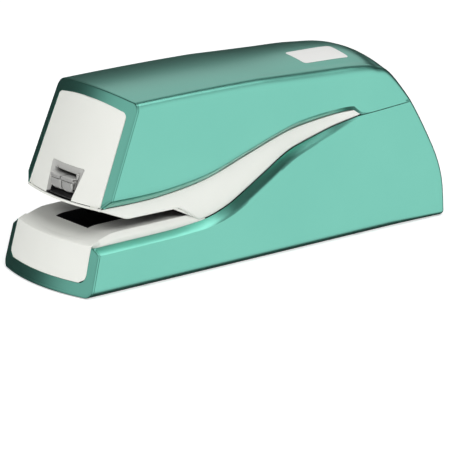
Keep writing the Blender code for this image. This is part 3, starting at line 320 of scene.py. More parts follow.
parting_rows = [parting_index(lane) for lane in range(LANES)]
rear_corner = lane_place(LANES - 1, parting_rows[-1])
print("lanes:", LANES, "rear corner of the parting line, mm:", [round(v / MM, 1) for v in rear_corner])

# %% [markdown]
# ## Upper cover
# The cover wraps over the mechanism and ends in a soft chamfer above the white band. Near the front
# its rows lean and bow until they lie on the front surface, so the front edge comes out clean.

# %% Upper cover rows
FRONT_ROWS, REAR_ROWS = 22, 46
RECESS_Y = np.array([-97, 16, 36, 47, 50.9]) * Y_SCALE
RECESS = np.array([3.5, 3.5, 2.1, 0.6, 0.3]) * MM
CHAMFER_HEIGHT = np.array([3.6, 3.2, 2.4, 1.7, 1.2]) * MM
LIP = 1.6 * MM
SEAM = 1.0 * MM
HALF_PARTING_GAP = 0.16 * MM
CHAMFER_SHARES = (0.06, 0.5, 1.0)  # where the chamfer has points, from its top to its foot
CHAMFER_FADE = 5 * MM  # the recess and the chamfer end this far behind the band
FIRST_EDGE_Y = -80 * Y_SCALE  # a first guess at where a row's lower edge lies
EDGE_ROUNDS = 4


def recess_at(y):
    """How far the white band lies behind the side walls, fading out towards its rear end."""
    return np.interp(y, RECESS_Y, RECESS)


def wall_down(end, edge_y, edge_z, recess, height):
    """From the end of the shoulder down the side wall, then in along the chamfer to the band."""
    crease_z = min(edge_z + height, end[2])
    places = []
    for i in range(1, WALL_STEPS + 1):
        share = i / WALL_STEPS
        z = end[2] + (crease_z - end[2]) * share
        places.append((half_width(z), end[1] + (edge_y - end[1]) * share, z))
    for share in CHAMFER_SHARES:
        z = crease_z + (edge_z - crease_z) * share
        places.append((half_width(edge_z) - recess * share, edge_y, z))
    places.append((half_width(edge_z) - recess - LIP, edge_y, edge_z))
    return places


def front_row(share, behind):
    """A row that leans from the front surface back to the upright row at BLEND_Y."""
    top_y = front_y(0, HEAD_TOP_Z) * (1 - share) + BLEND_Y * share
    crown_z = crown_z_at(top_y)
    crown, radius = crown_at(top_y), shoulder_at(top_y)
    edge = half_width(crown_z - crown - radius) - radius
    places = [(x, 0, crown_z - d) for x, d in half_row(crown, radius, edge)]
    edge_y = FIRST_EDGE_Y
    # The edge's height and its place along the body depend on each other, so a few rounds settle both.
    for _ in range(EDGE_ROUNDS):
        edge_z = band_top_z(edge_y)
        edge_y = (front_y(half_width(edge_z), edge_z) + behind) * (1 - share) + BLEND_Y * share
    places += wall_down(places[-1], 0, edge_z, RECESS[0], CHAMFER_HEIGHT[0])
    return [(x, (front_y(x, z) + behind) * (1 - share) + BLEND_Y * share, z) for x, _, z in places]


def rear_row(share):
    """A row behind BLEND_Y. The last one is the parting edge round the rear."""
    places = []
    for lane in range(LANES):
        reach = blend_index + (parting_rows[lane] - blend_index) * share
        places.append(lane_place(lane, reach))
    end = places[-1]
    edge_y = BLEND_Y + (rear_corner[1] - BLEND_Y) * share
    ended = min(max((edge_y - BAND_END_Y) / CHAMFER_FADE, 0), 1)
    edge_z = band_top_z(edge_y)
    if edge_y > band_top_line[-1][0]:
        band_top_end = band_top_line[-1][0]
        drop = min((edge_y - band_top_end) / (BAND_END_Y - band_top_end), 1)
        edge_z = band_top_z(edge_y) * (1 - drop) + parting_z(edge_y) * drop
    height = np.interp(edge_y, RECESS_Y, CHAMFER_HEIGHT) * (1 - ended)
    edge_z = min(edge_z, end[2]) + HALF_PARTING_GAP
    return places + wall_down(end, edge_y, edge_z, recess_at(edge_y) * (1 - ended), height)


front_shares = [(i / FRONT_ROWS) ** 1.4 for i in range(FRONT_ROWS)]
rear_shares = [i / REAR_ROWS for i in range(REAR_ROWS + 1)]
cover_rows = [front_row(share, SEAM) for share in front_shares]
cover_rows += [rear_row(share) for share in rear_shares]
print("cover rows:", len(cover_rows), "points in each:", len(cover_rows[0]))

# %% [markdown]
# ## The frame round the front panel
# On the real stapler a narrow glossy frame closes the front of the cover, with a fine dark seam
# behind it. The seam is a shallow groove, the outer edge a small fillet, and the inner edge turns in
# round the white panel.

# %% Front rims
RIM = 4.1 * MM
FILLET = 0.4 * MM
FILLET_STEPS = 5
GROOVE = 0.3 * MM
GROOVE_SLOPE = 0.05 * MM
RIM_DEPTH = 1.6 * MM
PANEL_RADIUS = 3.2 * MM
RIM_BAND_STEPS = 4
COVER_WALL = 1.2 * MM


def rim_rows(outer, inner):
    """Rows from the seam behind the rim, round its fillet, across its face and back inwards."""
    outer, inner = np.array(outer), np.array(inner)
    inward = (inner - outer) / np.linalg.norm(inner - outer, axis=1)[:, None]
    steps = [(0, SEAM), (GROOVE, SEAM - GROOVE_SLOPE)]
    steps += [(GROOVE, SEAM - GROOVE + GROOVE_SLOPE), (0, SEAM - GROOVE)]
    for i in range(FILLET_STEPS + 1):
        turn = math.pi / 2 * i / FILLET_STEPS
        steps.append((FILLET * (1 - math.cos(turn)), FILLET * (1 - math.sin(turn))))
    rows = []
    for inset, back in steps:
        flat = outer + inward * inset
        rows.append([(x, front_y(x, z) + back, z) for x, z in flat])
    start = outer + inward * FILLET
    for i in range(1, RIM_BAND_STEPS + 1):
        flat = start + (inner - start) * i / RIM_BAND_STEPS
        rows.append([(x, front_y(x, z), z) for x, z in flat])
    for depth in (RIM_DEPTH * 0.4, RIM_DEPTH):
        rows.append([(x, front_y(x, z) + depth, z) for x, z in inner])
    return rows


def head_outline(inset, radius, low_z):
    """Half of the head seen from the front, from the top middle down its side."""
    top_y = front_y(0, HEAD_TOP_Z)
    crown_z = crown_z_at(top_y) - inset
    crown = crown_at(top_y)
    edge = half_width(crown_z - crown - radius) - inset - radius
    outline = [(x, crown_z - d) for x, d in half_row(crown, radius, edge)]
    top_z = outline[-1][1]
    for i in range(1, WALL_STEPS + 4):
        z = top_z + (low_z - top_z) * i / (WALL_STEPS + 3)
        outline.append((half_width(z) - inset, z))
    return outline


head_outer = [(x, z) for x, _, z in cover_rows[0][:-1]]
head_inner = head_outline(RIM, PANEL_RADIUS, band_top_z(-82 * Y_SCALE))
rim_grid = rim_rows(head_outer, head_inner)
upper_cover = grid_piece("upper_cover_skin", cover_rows, rim_grid)
mould(upper_cover, COVER_WALL, (0.3, 0, 1))
stand_for(upper_cover, "upper_cover")
print("upper cover:", len(upper_cover.data.polygons), "faces")

# %% [markdown]
# ## Lower shell
# The shell is the base, the side walls and the rear in one moulding. Its top edge has a hollow
# chamfer that follows the white band and fades out towards the rear, and its bottom edge is round.

# %% Lower shell rows
SHELL_BOTTOM = 0.4 * MM
BOTTOM_RADIUS = 3.4 * MM
REAR_RADIUS = 2.0 * MM
SCOOP_STEPS, SIDE_STEPS, ROUND_STEPS = 6, 14, 8
SIDE_COLUMNS = 90
REAR_SAMPLES = 60
SHELL_FRONT_TOP = 21.5 * Z_SCALE
SCOOP_FADE = 4 * MM
SCOOP_CURVE = 1.15  # over 1 makes the chamfer hollow
RADIUS_BLEND = 0.15  # share of the side over which the rear's bottom radius grows to the side's
BULGE_FADE = 3  # the rear's bulge is gone one third of the way along the side
SCOOP_Y = np.array([-97, -42, -25, -10, 1, 20, 36, 47, 54]) * Y_SCALE
SCOOP_DROP = np.array([2.4, 2.3, 2.8, 3.3, 3.2, 2.7, 2.4, 1.2, 0.3]) * MM


def side_column(share):
    """Top and bottom of one column on the side wall, from the rear corner (0) to the front (1)."""
    bottom_rear = body_rows[-1, -1]
    front_low = front_y(half_width(SHELL_BOTTOM), SHELL_BOTTOM) + SEAM
    front_top = front_y(half_width(SHELL_FRONT_TOP), SHELL_FRONT_TOP) + SEAM
    low_y = bottom_rear[1] + (front_low - bottom_rear[1]) * share
    top_y = rear_corner[1] + (front_top - rear_corner[1]) * share
    top_z = parting_z(top_y) - HALF_PARTING_GAP if top_y > BAND_END_Y else band_low_z(top_y)
    return top_y, top_z, low_y


corner_line = body_rows[int(parting_rows[-1]):, -1]


def rear_bulge(share, z):
    """How far the wall's rear edge stands behind a straight line, fading towards the front."""
    line_y = np.interp(z, corner_line[::-1, 2], corner_line[::-1, 1])
    bottom = corner_line[-1]
    down = (rear_corner[2] - z) / (rear_corner[2] - bottom[2])
    straight_y = rear_corner[1] + (bottom[1] - rear_corner[1]) * min(max(down, 0), 1)
    return (line_y - straight_y) * max(1 - share * BULGE_FADE, 0) ** 2


def side_points(share):
    """One column: down the hollow chamfer, down the wall and round the bottom edge."""
    top_y, top_z, low_y = side_column(share)
    drop = np.interp(top_y, SCOOP_Y, SCOOP_DROP)
    inset = recess_at(top_y) * min(max((SCOOP_Y[-1] - top_y) / SCOOP_FADE, 0), 1)
    radius = np.interp(share, [0, RADIUS_BLEND], [REAR_RADIUS, BOTTOM_RADIUS])
    places = []
    for i in range(SCOOP_STEPS):
        part = i / SCOOP_STEPS
        z = top_z - drop * part
        places.append([half_width(z) - inset * (1 - part) ** SCOOP_CURVE, top_y, z])
    crease_z = top_z - drop
    for i in range(SIDE_STEPS + 1):
        z = crease_z + (SHELL_BOTTOM + radius - crease_z) * (i / SIDE_STEPS)
        height = (top_z - z) / (top_z - SHELL_BOTTOM)
        places.append([half_width(z), top_y + (low_y - top_y) * height, z])
    for i in range(1, ROUND_STEPS + 1):
        turn = math.pi / 2 * i / ROUND_STEPS
        z = SHELL_BOTTOM + radius * (1 - math.sin(turn))
        height = (top_z - z) / (top_z - SHELL_BOTTOM)
        x = half_width(z) - radius * (1 - math.cos(turn))
        places.append([x, top_y + (low_y - top_y) * height, z])
    for place in places:
        place[1] += rear_bulge(share, place[2])
    return places


def rear_points(lane):
    """A column down the rear, at one lane of the body rows."""
    start = parting_rows[lane]
    samples = []
    for i in range(REAR_SAMPLES + 1):
        samples.append(lane_place(lane, start + (len(body_rows) - 1 - start) * i / REAR_SAMPLES))
    across, depths, heights = np.array(samples)[::-1].T
    corner = side_points(0)
    across_x, across_y = (body_rows[-1, lane + 1] - body_rows[-1, max(lane - 1, 0)])[:2]
    normal = np.array((-across_y, across_x)) / math.hypot(across_x, across_y)
    places = []
    top_gap = heights[-1] - HALF_PARTING_GAP - corner[0][2]
    for _, _, z in corner:
        level = z + top_gap * (z - SHELL_BOTTOM) / (corner[0][2] - SHELL_BOTTOM)
        y, x = np.interp(level, heights, depths), np.interp(level, heights, across)
        above = (level - SHELL_BOTTOM) / REAR_RADIUS
        pull = REAR_RADIUS * (1 - math.sqrt(max(1 - (1 - min(above, 1)) ** 2, 0)))
        places.append([x - normal[0] * pull, y - normal[1] * pull, level])
    return places


columns = [rear_points(lane) for lane in range(LANES - 1)]
columns += [side_points(i / SIDE_COLUMNS) for i in range(SIDE_COLUMNS + 1)]
front_column = columns[-1]
for place in front_column:
    place[1] = float(front_y(place[0], place[2])) + SEAM
print("shell columns:", len(columns), "points in each:", len(front_column))

# %% [markdown]
# ## The rim round the white apron
# The base ends in a U-shaped rim that holds the white apron. Its outline is the last column of the
# shell, carried on along the bottom to the middle.

# %% Base rim
APRON_BOTTOM = 5.9 * MM
APRON_RADIUS = 3.4 * MM
APRON_INSET = 4.0 * MM
BOTTOM_STEPS = 14
base_outer = [(x, z) for x, _, z in front_column]
corner_x, corner_z = base_outer[-1]
base_outer += [(corner_x * (1 - i / BOTTOM_STEPS), corner_z) for i in range(1, BOTTOM_STEPS + 1)]


def apron_outline():
    """The apron's edge, with as many points as the rim's outer outline."""
    top_z = base_outer[0][1]
    side_count = len(front_column) - ROUND_STEPS
    outline = []
    for i in range(side_count):
        z = top_z + (APRON_BOTTOM + APRON_RADIUS - top_z) * i / (side_count - 1)
        outline.append((half_width(z) - APRON_INSET, z))
    for i in range(1, ROUND_STEPS + 1):
        turn = math.pi / 2 * i / ROUND_STEPS
        x = outline[side_count - 1][0] - APRON_RADIUS * (1 - math.cos(turn))
        outline.append((x, APRON_BOTTOM + APRON_RADIUS * (1 - math.sin(turn))))
    last_x = outline[-1][0]
    outline += [(last_x * (1 - i / BOTTOM_STEPS), APRON_BOTTOM) for i in range(1, BOTTOM_STEPS + 1)]
    return outline


base_rim = rim_rows(base_outer, apron_outline())
lower_shell = grid_piece("lower_shell_skin", columns, base_rim)
mould(lower_shell, COVER_WALL, (1, 0, -0.2))
stand_for(lower_shell, "lower_shell")
print("lower shell:", len(lower_shell.data.polygons), "faces")

# %% [markdown]
# ## White inner frame
# The white frame shows as a wave between the two covers. Ahead of the throat it also makes the roof
# of the paper slot. One column of points runs down the side, round a small radius and then across.
# Faces of the roof above the anvil are taken out, for the mouth that the staple comes out of.
#
# One fault is left. The roof rows are told apart by a last x of exactly 0, and rounding leaves 11 of
# the 41 a hair off it. Long faces therefore bridge the gaps, and one of them still crosses part of
# the mouth. Comparing with a small length instead would keep all the rows together.

# %% White frame
FRAME_SEAM = 0.3 * MM
EDGE_RADIUS = 0.9 * MM
THROAT_Y = SLOT_ROOF[-1][0]
FRAME_FRONT_COLUMNS, FRAME_REAR_COLUMNS = 40, 60
FRAME_SIDE_STEPS, FRAME_ACROSS_STEPS = 8, 6
EDGE_STEPS = 4
FRAME_LIP = 2 * MM  # how far the frame reaches in behind its own edges
FRAME_EDGE = 0.2 * MM
EDGE_DROP = 0.15 * MM
FRAME_FRONT_Z = 36 * MM
FRAME_WALL = 1.0 * MM


def frame_low_z(y):
    if y <= THROAT_Y:
        return np.interp(y, SLOT_ROOF[:, 0], SLOT_ROOF[:, 1])
    return band_low_z(y) + HALF_PARTING_GAP


def frame_column(y):
    """Down the side of the frame and round its lower edge."""
    top_z = band_top_z(y) - 2 * HALF_PARTING_GAP
    low_z = min(frame_low_z(y), top_z - 0.1 * MM)
    radius = min(EDGE_RADIUS, (top_z - low_z) * 0.45)
    inset = recess_at(y) + 0.05 * MM
    top_x = half_width(top_z) - inset
    places = [(top_x - FRAME_LIP, top_z), (top_x - FRAME_EDGE, top_z)]
    for i in range(FRAME_SIDE_STEPS + 1):
        z = top_z - EDGE_DROP + (low_z + radius - top_z + EDGE_DROP) * i / FRAME_SIDE_STEPS
        places.append((half_width(z) - inset, z))
    for i in range(1, EDGE_STEPS + 1):
        turn = math.pi / 2 * i / EDGE_STEPS
        z = low_z + radius * (1 - math.sin(turn))
        places.append((half_width(z) - inset - radius * (1 - math.cos(turn)), z))
    return places


def leaning(x, z, y, behind):
    """Ahead of BLEND_Y, a place moved so that the piece's front lies on the front surface."""
    start = front_y(HALF_WIDTH, z) + behind
    share = min(max((y - start) / (BLEND_Y - start), 0), 1)
    return (front_y(x, z) + behind) * (1 - share) + BLEND_Y * share if y < BLEND_Y else y


def frame_columns():
    """The frame's side columns, and the rows that run from their feet to the middle or to a lip."""
    front = front_y(half_width(FRAME_FRONT_Z), FRAME_FRONT_Z) + FRAME_SEAM
    ys = list(np.linspace(front, THROAT_Y, FRAME_FRONT_COLUMNS + 1))
    ys += list(np.linspace(THROAT_Y, BAND_END_Y, FRAME_REAR_COLUMNS + 1))[1:]
    sides, across = [], []
    for y in ys:
        places = frame_column(y)
        sides.append([(x, leaning(x, z, y, FRAME_SEAM), z) for x, z in places])
        last_x, last_z = places[-1]
        end_x = 0 if y <= THROAT_Y else last_x - FRAME_LIP
        row = []
        for i in range(FRAME_ACROSS_STEPS + 1):
            x = last_x + (end_x - last_x) * i / FRAME_ACROSS_STEPS
            row.append((x, leaning(x, last_z, y, FRAME_SEAM), last_z))
        across.append(row)
    return sides, across


frame_sides, frame_across = frame_columns()
roof_columns = [row for row in frame_across if row[-1][0] == 0]
lip_columns = [row for row in frame_across if row[-1][0] > 0]
print("roof rows:", len(roof_columns), "lip rows:", len(lip_columns))

# %% Front corners and staple mouth of the frame
CORNER_GAP = 0.1 * MM
CORNER_BEHIND = FRAME_SEAM + 0.04 * MM
CORNER_REACH = 6 * MM
CORNER_STEPS = 6
CORNER_HEIGHTS = (SLOT_ROOF[0][1] + CORNER_GAP, 36.5 * MM, band_top_z(-84 * MM) - CORNER_GAP)
corner_strip = []
for z in CORNER_HEIGHTS:
    outer_x = half_width(z) - RECESS[0] - CORNER_GAP
    xs = [outer_x - CORNER_REACH * i / CORNER_STEPS for i in range(CORNER_STEPS + 1)]
    corner_strip.append([(x, front_y(x, z) + CORNER_BEHIND, z) for x in xs])
mid_frame = grid_piece("mid_frame_skin", frame_sides, roof_columns, lip_columns, corner_strip)
MOUTH_HALF = 8.6 * MM
MOUTH_REACH = 3.4 * MM  # how far the mouth goes ahead of and behind the blade
blade_low, blade_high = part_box("driver_blade")


def open_faces(obj, is_open):
    """Takes out the faces whose middle lies in an opening."""
    bm = bmesh.new()
    bm.from_mesh(obj.data)
    opened = [face for face in bm.faces if is_open(face.calc_center_median())]
    count = len(opened)
    bmesh.ops.delete(bm, geom=opened, context="FACES")
    bm.to_mesh(obj.data)
    bm.free()
    return count


def in_mouth(middle):
    along = blade_low.y - MOUTH_REACH < middle.y < blade_high.y + MOUTH_REACH
    return abs(middle.x) < MOUTH_HALF and along


open_faces(mid_frame, in_mouth)
mould(mid_frame, FRAME_WALL, (1, 0, -0.5))
stand_for(mid_frame, "mid_frame")
print("mid frame:", len(mid_frame.data.polygons), "faces")

# %% [markdown]
# ## White front panel and the notch
# The panel fills the glossy frame and follows the same bowed, leaning surface. The notch for the
# magazine is open at the bottom, so the panel is ruled between the notch's edge and its own.

# %% Front panel
PANEL_GAP = 0.18 * MM
PANEL_LOW = 35.95 * Z_SCALE
NOTCH_HALF = 7.7 * MM
NOTCH_TOP = 45.5 * Z_SCALE
BEZEL_WIDTH = 3.0 * MM
BEZEL_FOOT = 0.6 * MM
NOTCH_CORNER = 0.8 * MM
RULE_STEPS = 14
EDGE_SHARE = 0.012  # a row this close to each edge keeps the panel's rounding tight
PANEL_BEHIND = 0.05 * MM
PANEL_WALL = 0.9 * MM


def inverted_u(half, top_z, radius, low_z, lean=0.0):
    """Half of an arch seen from the front: across the top, round the corner and down."""
    outline = [((half - radius) * i / 8, top_z) for i in range(8)]
    for i in range(9):
        turn = math.pi / 2 * i / 8
        outline.append((half - radius + radius * math.sin(turn), top_z - radius + radius * math.cos(turn)))
    corner_x, corner_z = outline[-1]
    for i in range(1, 17):
        z = corner_z + (low_z - corner_z) * i / 16
        outline.append((corner_x + lean * (corner_z - z), z))
    return np.array(outline)


head_top = max(z for _, z in head_inner)
panel_top = head_top - PANEL_GAP
panel_half = half_width(panel_top) - RIM - PANEL_GAP
panel_edge = inverted_u(panel_half, panel_top, PANEL_RADIUS, PANEL_LOW, DRAFT)
bezel_height = NOTCH_TOP + BEZEL_WIDTH - NOTCH_CORNER - PANEL_LOW
bezel_taper = (BEZEL_FOOT - BEZEL_WIDTH) / bezel_height
bezel_half, bezel_top = NOTCH_HALF + BEZEL_WIDTH, NOTCH_TOP + BEZEL_WIDTH
notch_edge = inverted_u(bezel_half, bezel_top, NOTCH_CORNER, PANEL_LOW, bezel_taper)


def front_row_of(outline, behind):
    return [(x, front_y(x, z) + behind, z) for x, z in outline]


panel_rows = [front_row_of(notch_edge, 3.0 * MM), front_row_of(notch_edge, 0.25 * MM)]
for share in [EDGE_SHARE, *(i / RULE_STEPS for i in range(1, RULE_STEPS)), 1 - EDGE_SHARE]:
    panel_rows.append(front_row_of(notch_edge + (panel_edge - notch_edge) * share, PANEL_BEHIND))
panel_rows.append(front_row_of(panel_edge, 0.3 * MM))
panel_rows.append(front_row_of(panel_edge, 1.4 * MM))
front_panel = grid_piece("front_panel_skin", panel_rows)
mould(front_panel, PANEL_WALL, (0, -1, 0))
stand_for(front_panel, "front_panel")
print("front panel:", len(front_panel.data.polygons), "faces")

# %% [markdown]
# ## Notch surround
# A light grey moulding lines the notch: a sloping face, then walls that run back beside the
# magazine, and a floor under its nose. It is drawn from the same arch outlines as the panel, so the
# two meet all the way round.

# %% Notch surround
BEZEL_DEPTH = 1.6 * MM
BEZEL_REACH = 9.0 * MM
BEZEL_WALL = 0.4 * MM
BEZEL_GAP = 0.08 * MM
FLOOR_START, FLOOR_STEP, FLOOR_ROWS = 1.2 * MM, 2.2 * MM, 5
bezel_inner = inverted_u(NOTCH_HALF, NOTCH_TOP, 0.5 * MM, PANEL_LOW)
bezel_rows = [front_row_of(notch_edge - (BEZEL_GAP, BEZEL_GAP), 0.12 * MM)]
for behind in (BEZEL_DEPTH, BEZEL_DEPTH + 0.5 * MM, BEZEL_REACH):
    bezel_rows.append(front_row_of(bezel_inner, behind))
bezel_floor = []
for i in range(FLOOR_ROWS):
    deep = FLOOR_START + FLOOR_STEP * i
    xs = [(NOTCH_HALF - 0.1 * MM) * k / 6 for k in range(7)]
    bezel_floor.append([(x, front_y(x, PANEL_LOW) + deep, PANEL_LOW + 0.5 * MM) for x in xs])
notch_bezel = grid_piece("notch_bezel_skin", bezel_rows, bezel_floor)
mould(notch_bezel, BEZEL_WALL, (0, -1, 0))
stand_for(notch_bezel, "notch_bezel")
print("notch:", round(2 * NOTCH_HALF / MM, 1), "mm wide,", round(NOTCH_TOP / MM, 1), "mm up")

# %% [markdown]
# ## Bright magazine nose
# The nose is chromed sheet, pressed into two shield-shaped lobes beside a narrow middle slit. A flat
# strip runs along the top. Each lobe is a height field, deepest in its middle.

# %% Magazine nose
LOBE_STEPS = 24
SLIT_HALF = 0.4 * MM
NOSE_HALF = 7.3 * MM
NOSE_LOW, NOSE_TOP = 38.2 * Z_SCALE, 44.2 * Z_SCALE
STRIP_HEIGHT = 1.3 * MM
NOSE_STAND = 1.8 * MM  # how far the nose stands out of the panel
CORNER_CUT = 2.4 * MM
PILLOW_EDGE, PILLOW_FOOT, PILLOW_LOW = 0.7 * MM, 0.9 * MM, 0.2 * MM
STRIP_STEPS = 12
PLATE_BEHIND = 2.4 * MM
NOSE_WALL = 0.35 * MM
nose_front = front_y(0, NOSE_TOP) - NOSE_STAND


def lobe_grid(low_x, high_x, low_z, high_z):
    """One lobe seen from the front. Its lower corners are round and its face is a shallow pillow."""
    rows = []
    for i in range(LOBE_STEPS + 1):
        v = i / LOBE_STEPS
        near_foot = max(1 - (v * (high_z - low_z)) / CORNER_CUT, 0)
        outer_x = high_x - CORNER_CUT * (1 - math.sqrt(1 - near_foot**2))
        row = []
        for k in range(LOBE_STEPS + 1):
            u = 2 * k / LOBE_STEPS - 1
            x = low_x + (outer_x - low_x) * (u + 1) / 2
            back = PILLOW_EDGE * u**8 + PILLOW_FOOT * near_foot**3 + PILLOW_LOW * (1 - v) ** 2
            row.append((x, nose_front + back, low_z + (high_z - low_z) * v))
        rows.append(row)
    return rows


lobe_top = NOSE_TOP - STRIP_HEIGHT
lobe_rows = lobe_grid(SLIT_HALF, NOSE_HALF, NOSE_LOW, lobe_top - 0.35 * MM)
lobe_rows.append([(x, y + 0.8 * MM, z) for x, y, z in lobe_rows[-1]])
STRIP_PROFILE = [(lobe_top, 2.0 * MM), (lobe_top, 0.15 * MM), (lobe_top + 0.15 * MM, 0)]
STRIP_PROFILE += [(NOSE_TOP - 0.3 * MM, 0), (NOSE_TOP, 0.3 * MM)]
STRIP_BOW = 0.5 * MM
strip_rows = []
for z, back in STRIP_PROFILE:
    xs = [SLIT_HALF + (NOSE_HALF - SLIT_HALF) * k / STRIP_STEPS for k in range(STRIP_STEPS + 1)]
    strip_rows.append([(x, nose_front + back + STRIP_BOW * (x / NOSE_HALF) ** 4, z) for x in xs])
strip_rows.append([(x, y + 4.0 * MM, z) for x, y, z in strip_rows[-1]])
plate_rows = []
for z in (NOSE_LOW + 1 * MM, NOSE_TOP - 0.4 * MM):
    plate_rows.append([(NOSE_HALF * k / 6, nose_front + PLATE_BEHIND, z) for k in range(7)])
magazine_nose = grid_piece("magazine_nose_skin", lobe_rows, strip_rows, plate_rows)
mould(magazine_nose, NOSE_WALL, (0, -1, 0))
stand_for(magazine_nose, "magazine_nose")
print("nose front at", round(nose_front / MM, 1), "mm")

# %% [markdown]
# ## Tray and apron
# The tray is the white floor of the paper slot. It slopes down at the front and turns into the
# apron, which lies in the U-shaped rim. The recess for the anvil is left open in its grid.

# %% Tray and apron
anvil_low, anvil_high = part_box("anvil_plate")
TRAY_TOP = 24.4 * Z_SCALE
TRAY_CREASE_Y, TRAY_LIP_Y = -77.2 * Y_SCALE, -88.0 * Y_SCALE
TRAY_LIP_Z = 21.3 * Z_SCALE
TRAY_REAR_Y = THROAT_Y + 3 * MM
TRAY_HALF = half_width(TRAY_TOP) - RECESS[0] - 1.6 * MM
TRAY_BEVEL = (1.4 * MM, 2.6 * MM)
TRAY_SKIRT = 2.0 * MM
TRAY_WALL = 1.6 * MM
CREASE_SOFTNESS = 1.2 * MM
ANVIL_GAP = 0.22 * MM


def tray_z(y):
    """The floor, with a soft crease where the front slope starts."""
    slope = (TRAY_TOP - TRAY_LIP_Z) / (TRAY_CREASE_Y - TRAY_LIP_Y)
    behind = (y - TRAY_CREASE_Y) / CREASE_SOFTNESS
    soft = CREASE_SOFTNESS * (math.log1p(math.exp(-abs(behind))) + max(-behind, 0))
    return TRAY_TOP - slope * soft


def tray_row(y, xs):
    z = tray_z(y)
    row = [(x, y, z) for x in xs]
    for share in (0.12, 0.9, 1.0):
        x = TRAY_HALF + TRAY_BEVEL[0] * share
        row.append((x, y, z - TRAY_BEVEL[1] * share**1.15))
    row.append((TRAY_HALF + TRAY_BEVEL[0], y, z - TRAY_BEVEL[1] - TRAY_SKIRT))
    return row


tray_xs = sorted(list(np.linspace(0, TRAY_HALF, 12)) + [anvil_high.x + ANVIL_GAP])
tray_ys = [*np.linspace(TRAY_LIP_Y, TRAY_CREASE_Y + 3 * MM, 16)]
tray_ys += [*np.linspace(-70 * MM, TRAY_REAR_Y, 8)]
tray_ys = sorted([*tray_ys, anvil_low.y - ANVIL_GAP, anvil_high.y + ANVIL_GAP])
tray_rows = [tray_row(y, tray_xs) for y in tray_ys]
print("tray rows:", len(tray_rows))

# %% Apron
APRON_GAP = 0.16 * MM
APRON_STEPS = 16


def apron_half_at(z):
    """Half width of the apron at one height, round its lower corners."""
    half = half_width(z) - APRON_INSET - APRON_GAP
    above = min(max((z - APRON_BOTTOM - APRON_GAP) / APRON_RADIUS, 0), 1)
    return half - APRON_RADIUS * (1 - math.sqrt(1 - (1 - above) ** 2))


def apron_row(z, behind):
    half = apron_half_at(z)
    return [(half * k / 14, front_y(half * k / 14, z) + behind, z) for k in range(15)]


LIP_DROP = 0.6 * MM
apron_low = APRON_BOTTOM + APRON_GAP
apron_top = TRAY_LIP_Z - LIP_DROP
apron_rows = []
for i in range(APRON_STEPS + 1):
    share = 1 - (1 - i / APRON_STEPS) ** 1.8
    apron_rows.append(apron_row(apron_low + (apron_top - apron_low) * share, 0.08 * MM))
lip_row = [(x, TRAY_LIP_Y + BOW * (x / HALF_WIDTH) ** 2, TRAY_LIP_Z) for x, _, _ in apron_rows[-1]]
apron_rows.append(apron_row(apron_top + 0.25 * MM, 0.15 * MM))
apron_rows.append([(x, y + 0.55 * MM, apron_top + 0.5 * MM) for x, y, _ in apron_rows[-1]])
apron_rows.append([(x, max(TRAY_LIP_Y, y), tray_z(max(TRAY_LIP_Y, y))) for x, y, _ in lip_row])
base_tray = grid_piece("base_tray_skin", tray_rows, apron_rows)


def in_recess(middle):
    along = anvil_low.y - ANVIL_GAP < middle.y < anvil_high.y + ANVIL_GAP
    return middle.x < anvil_high.x + ANVIL_GAP and along and middle.z > TRAY_LIP_Z + LIP_DROP


recess_faces = open_faces(base_tray, in_recess)
mould(base_tray, TRAY_WALL, (0, -0.3, 1))
stand_for(base_tray, "base_tray")
print("recess faces opened:", recess_faces)

# %% [markdown]
# ## Anvil plate
# The staple's legs meet a dark steel plate set level with the tray. A dished groove on each side of
# the middle turns the legs inwards. The plate follows the tray's fold at its front edge.

# %% Anvil plate
ANVIL_STEPS = 40
GROOVE_HALF_LENGTH, GROOVE_HALF_WIDTH, GROOVE_DEPTH = 2.4 * MM, 0.9 * MM, 0.45 * MM
GROOVE_X = 4.2 * MM
ANVIL_LIFT = 0.08 * MM
blade_y = (blade_low.y + blade_high.y) / 2


def groove_depth(x, y):
    """How far one place lies below the plate: a dished groove on each side of the middle."""
    along = (abs(x) - GROOVE_X) / GROOVE_HALF_LENGTH
    across = (y - blade_y) / GROOVE_HALF_WIDTH
    return GROOVE_DEPTH * max(1 - along**2 - across**2, 0) ** 0.5


anvil_rows = []
for i in range(ANVIL_STEPS + 1):
    y = anvil_low.y + (anvil_high.y - anvil_low.y) * i / ANVIL_STEPS
    xs = [anvil_high.x * k / ANVIL_STEPS for k in range(ANVIL_STEPS + 1)]
    anvil_rows.append([(x, y, tray_z(y) + ANVIL_LIFT - groove_depth(x, y)) for x in xs])
anvil_plate = grid_piece("anvil_plate_skin", anvil_rows)
mould(anvil_plate, 1.2 * MM, (0, 0, 1))
add_bevel(anvil_plate, 0.15 * MM, angle=60, segments=2)
stand_for(anvil_plate, "anvil_plate")
print("anvil plate:", len(anvil_plate.data.polygons), "faces")

# %% [markdown]
# ## Label
# A plain white sticker lies on the crown, behind the middle and to the right of the centre line.
# Each of its points is dropped onto the cover, so it bends with it. It stays blank.

# %% Label
from mathutils.bvhtree import BVHTree
LABEL_X = (3.0 * MM, 16.5 * MM)
LABEL_Y = (29.5 * Y_SCALE, 53.5 * Y_SCALE)
LABEL_RADIUS = 1.6 * MM
LABEL_LIFT = 0.1 * MM
LABEL_STEPS = 28
LABEL_THICKNESS = 0.08 * MM
cover_tree = BVHTree.FromObject(upper_cover, bpy.context.evaluated_depsgraph_get())


def label_corner_inset(share):
    """How far each side edge is drawn in at one share of the length, round the corners."""
    from_end = min(share, 1 - share) * (LABEL_Y[1] - LABEL_Y[0])
    if from_end >= LABEL_RADIUS:
        return 0.0
    return LABEL_RADIUS - math.sqrt(LABEL_RADIUS**2 - (LABEL_RADIUS - from_end) ** 2)


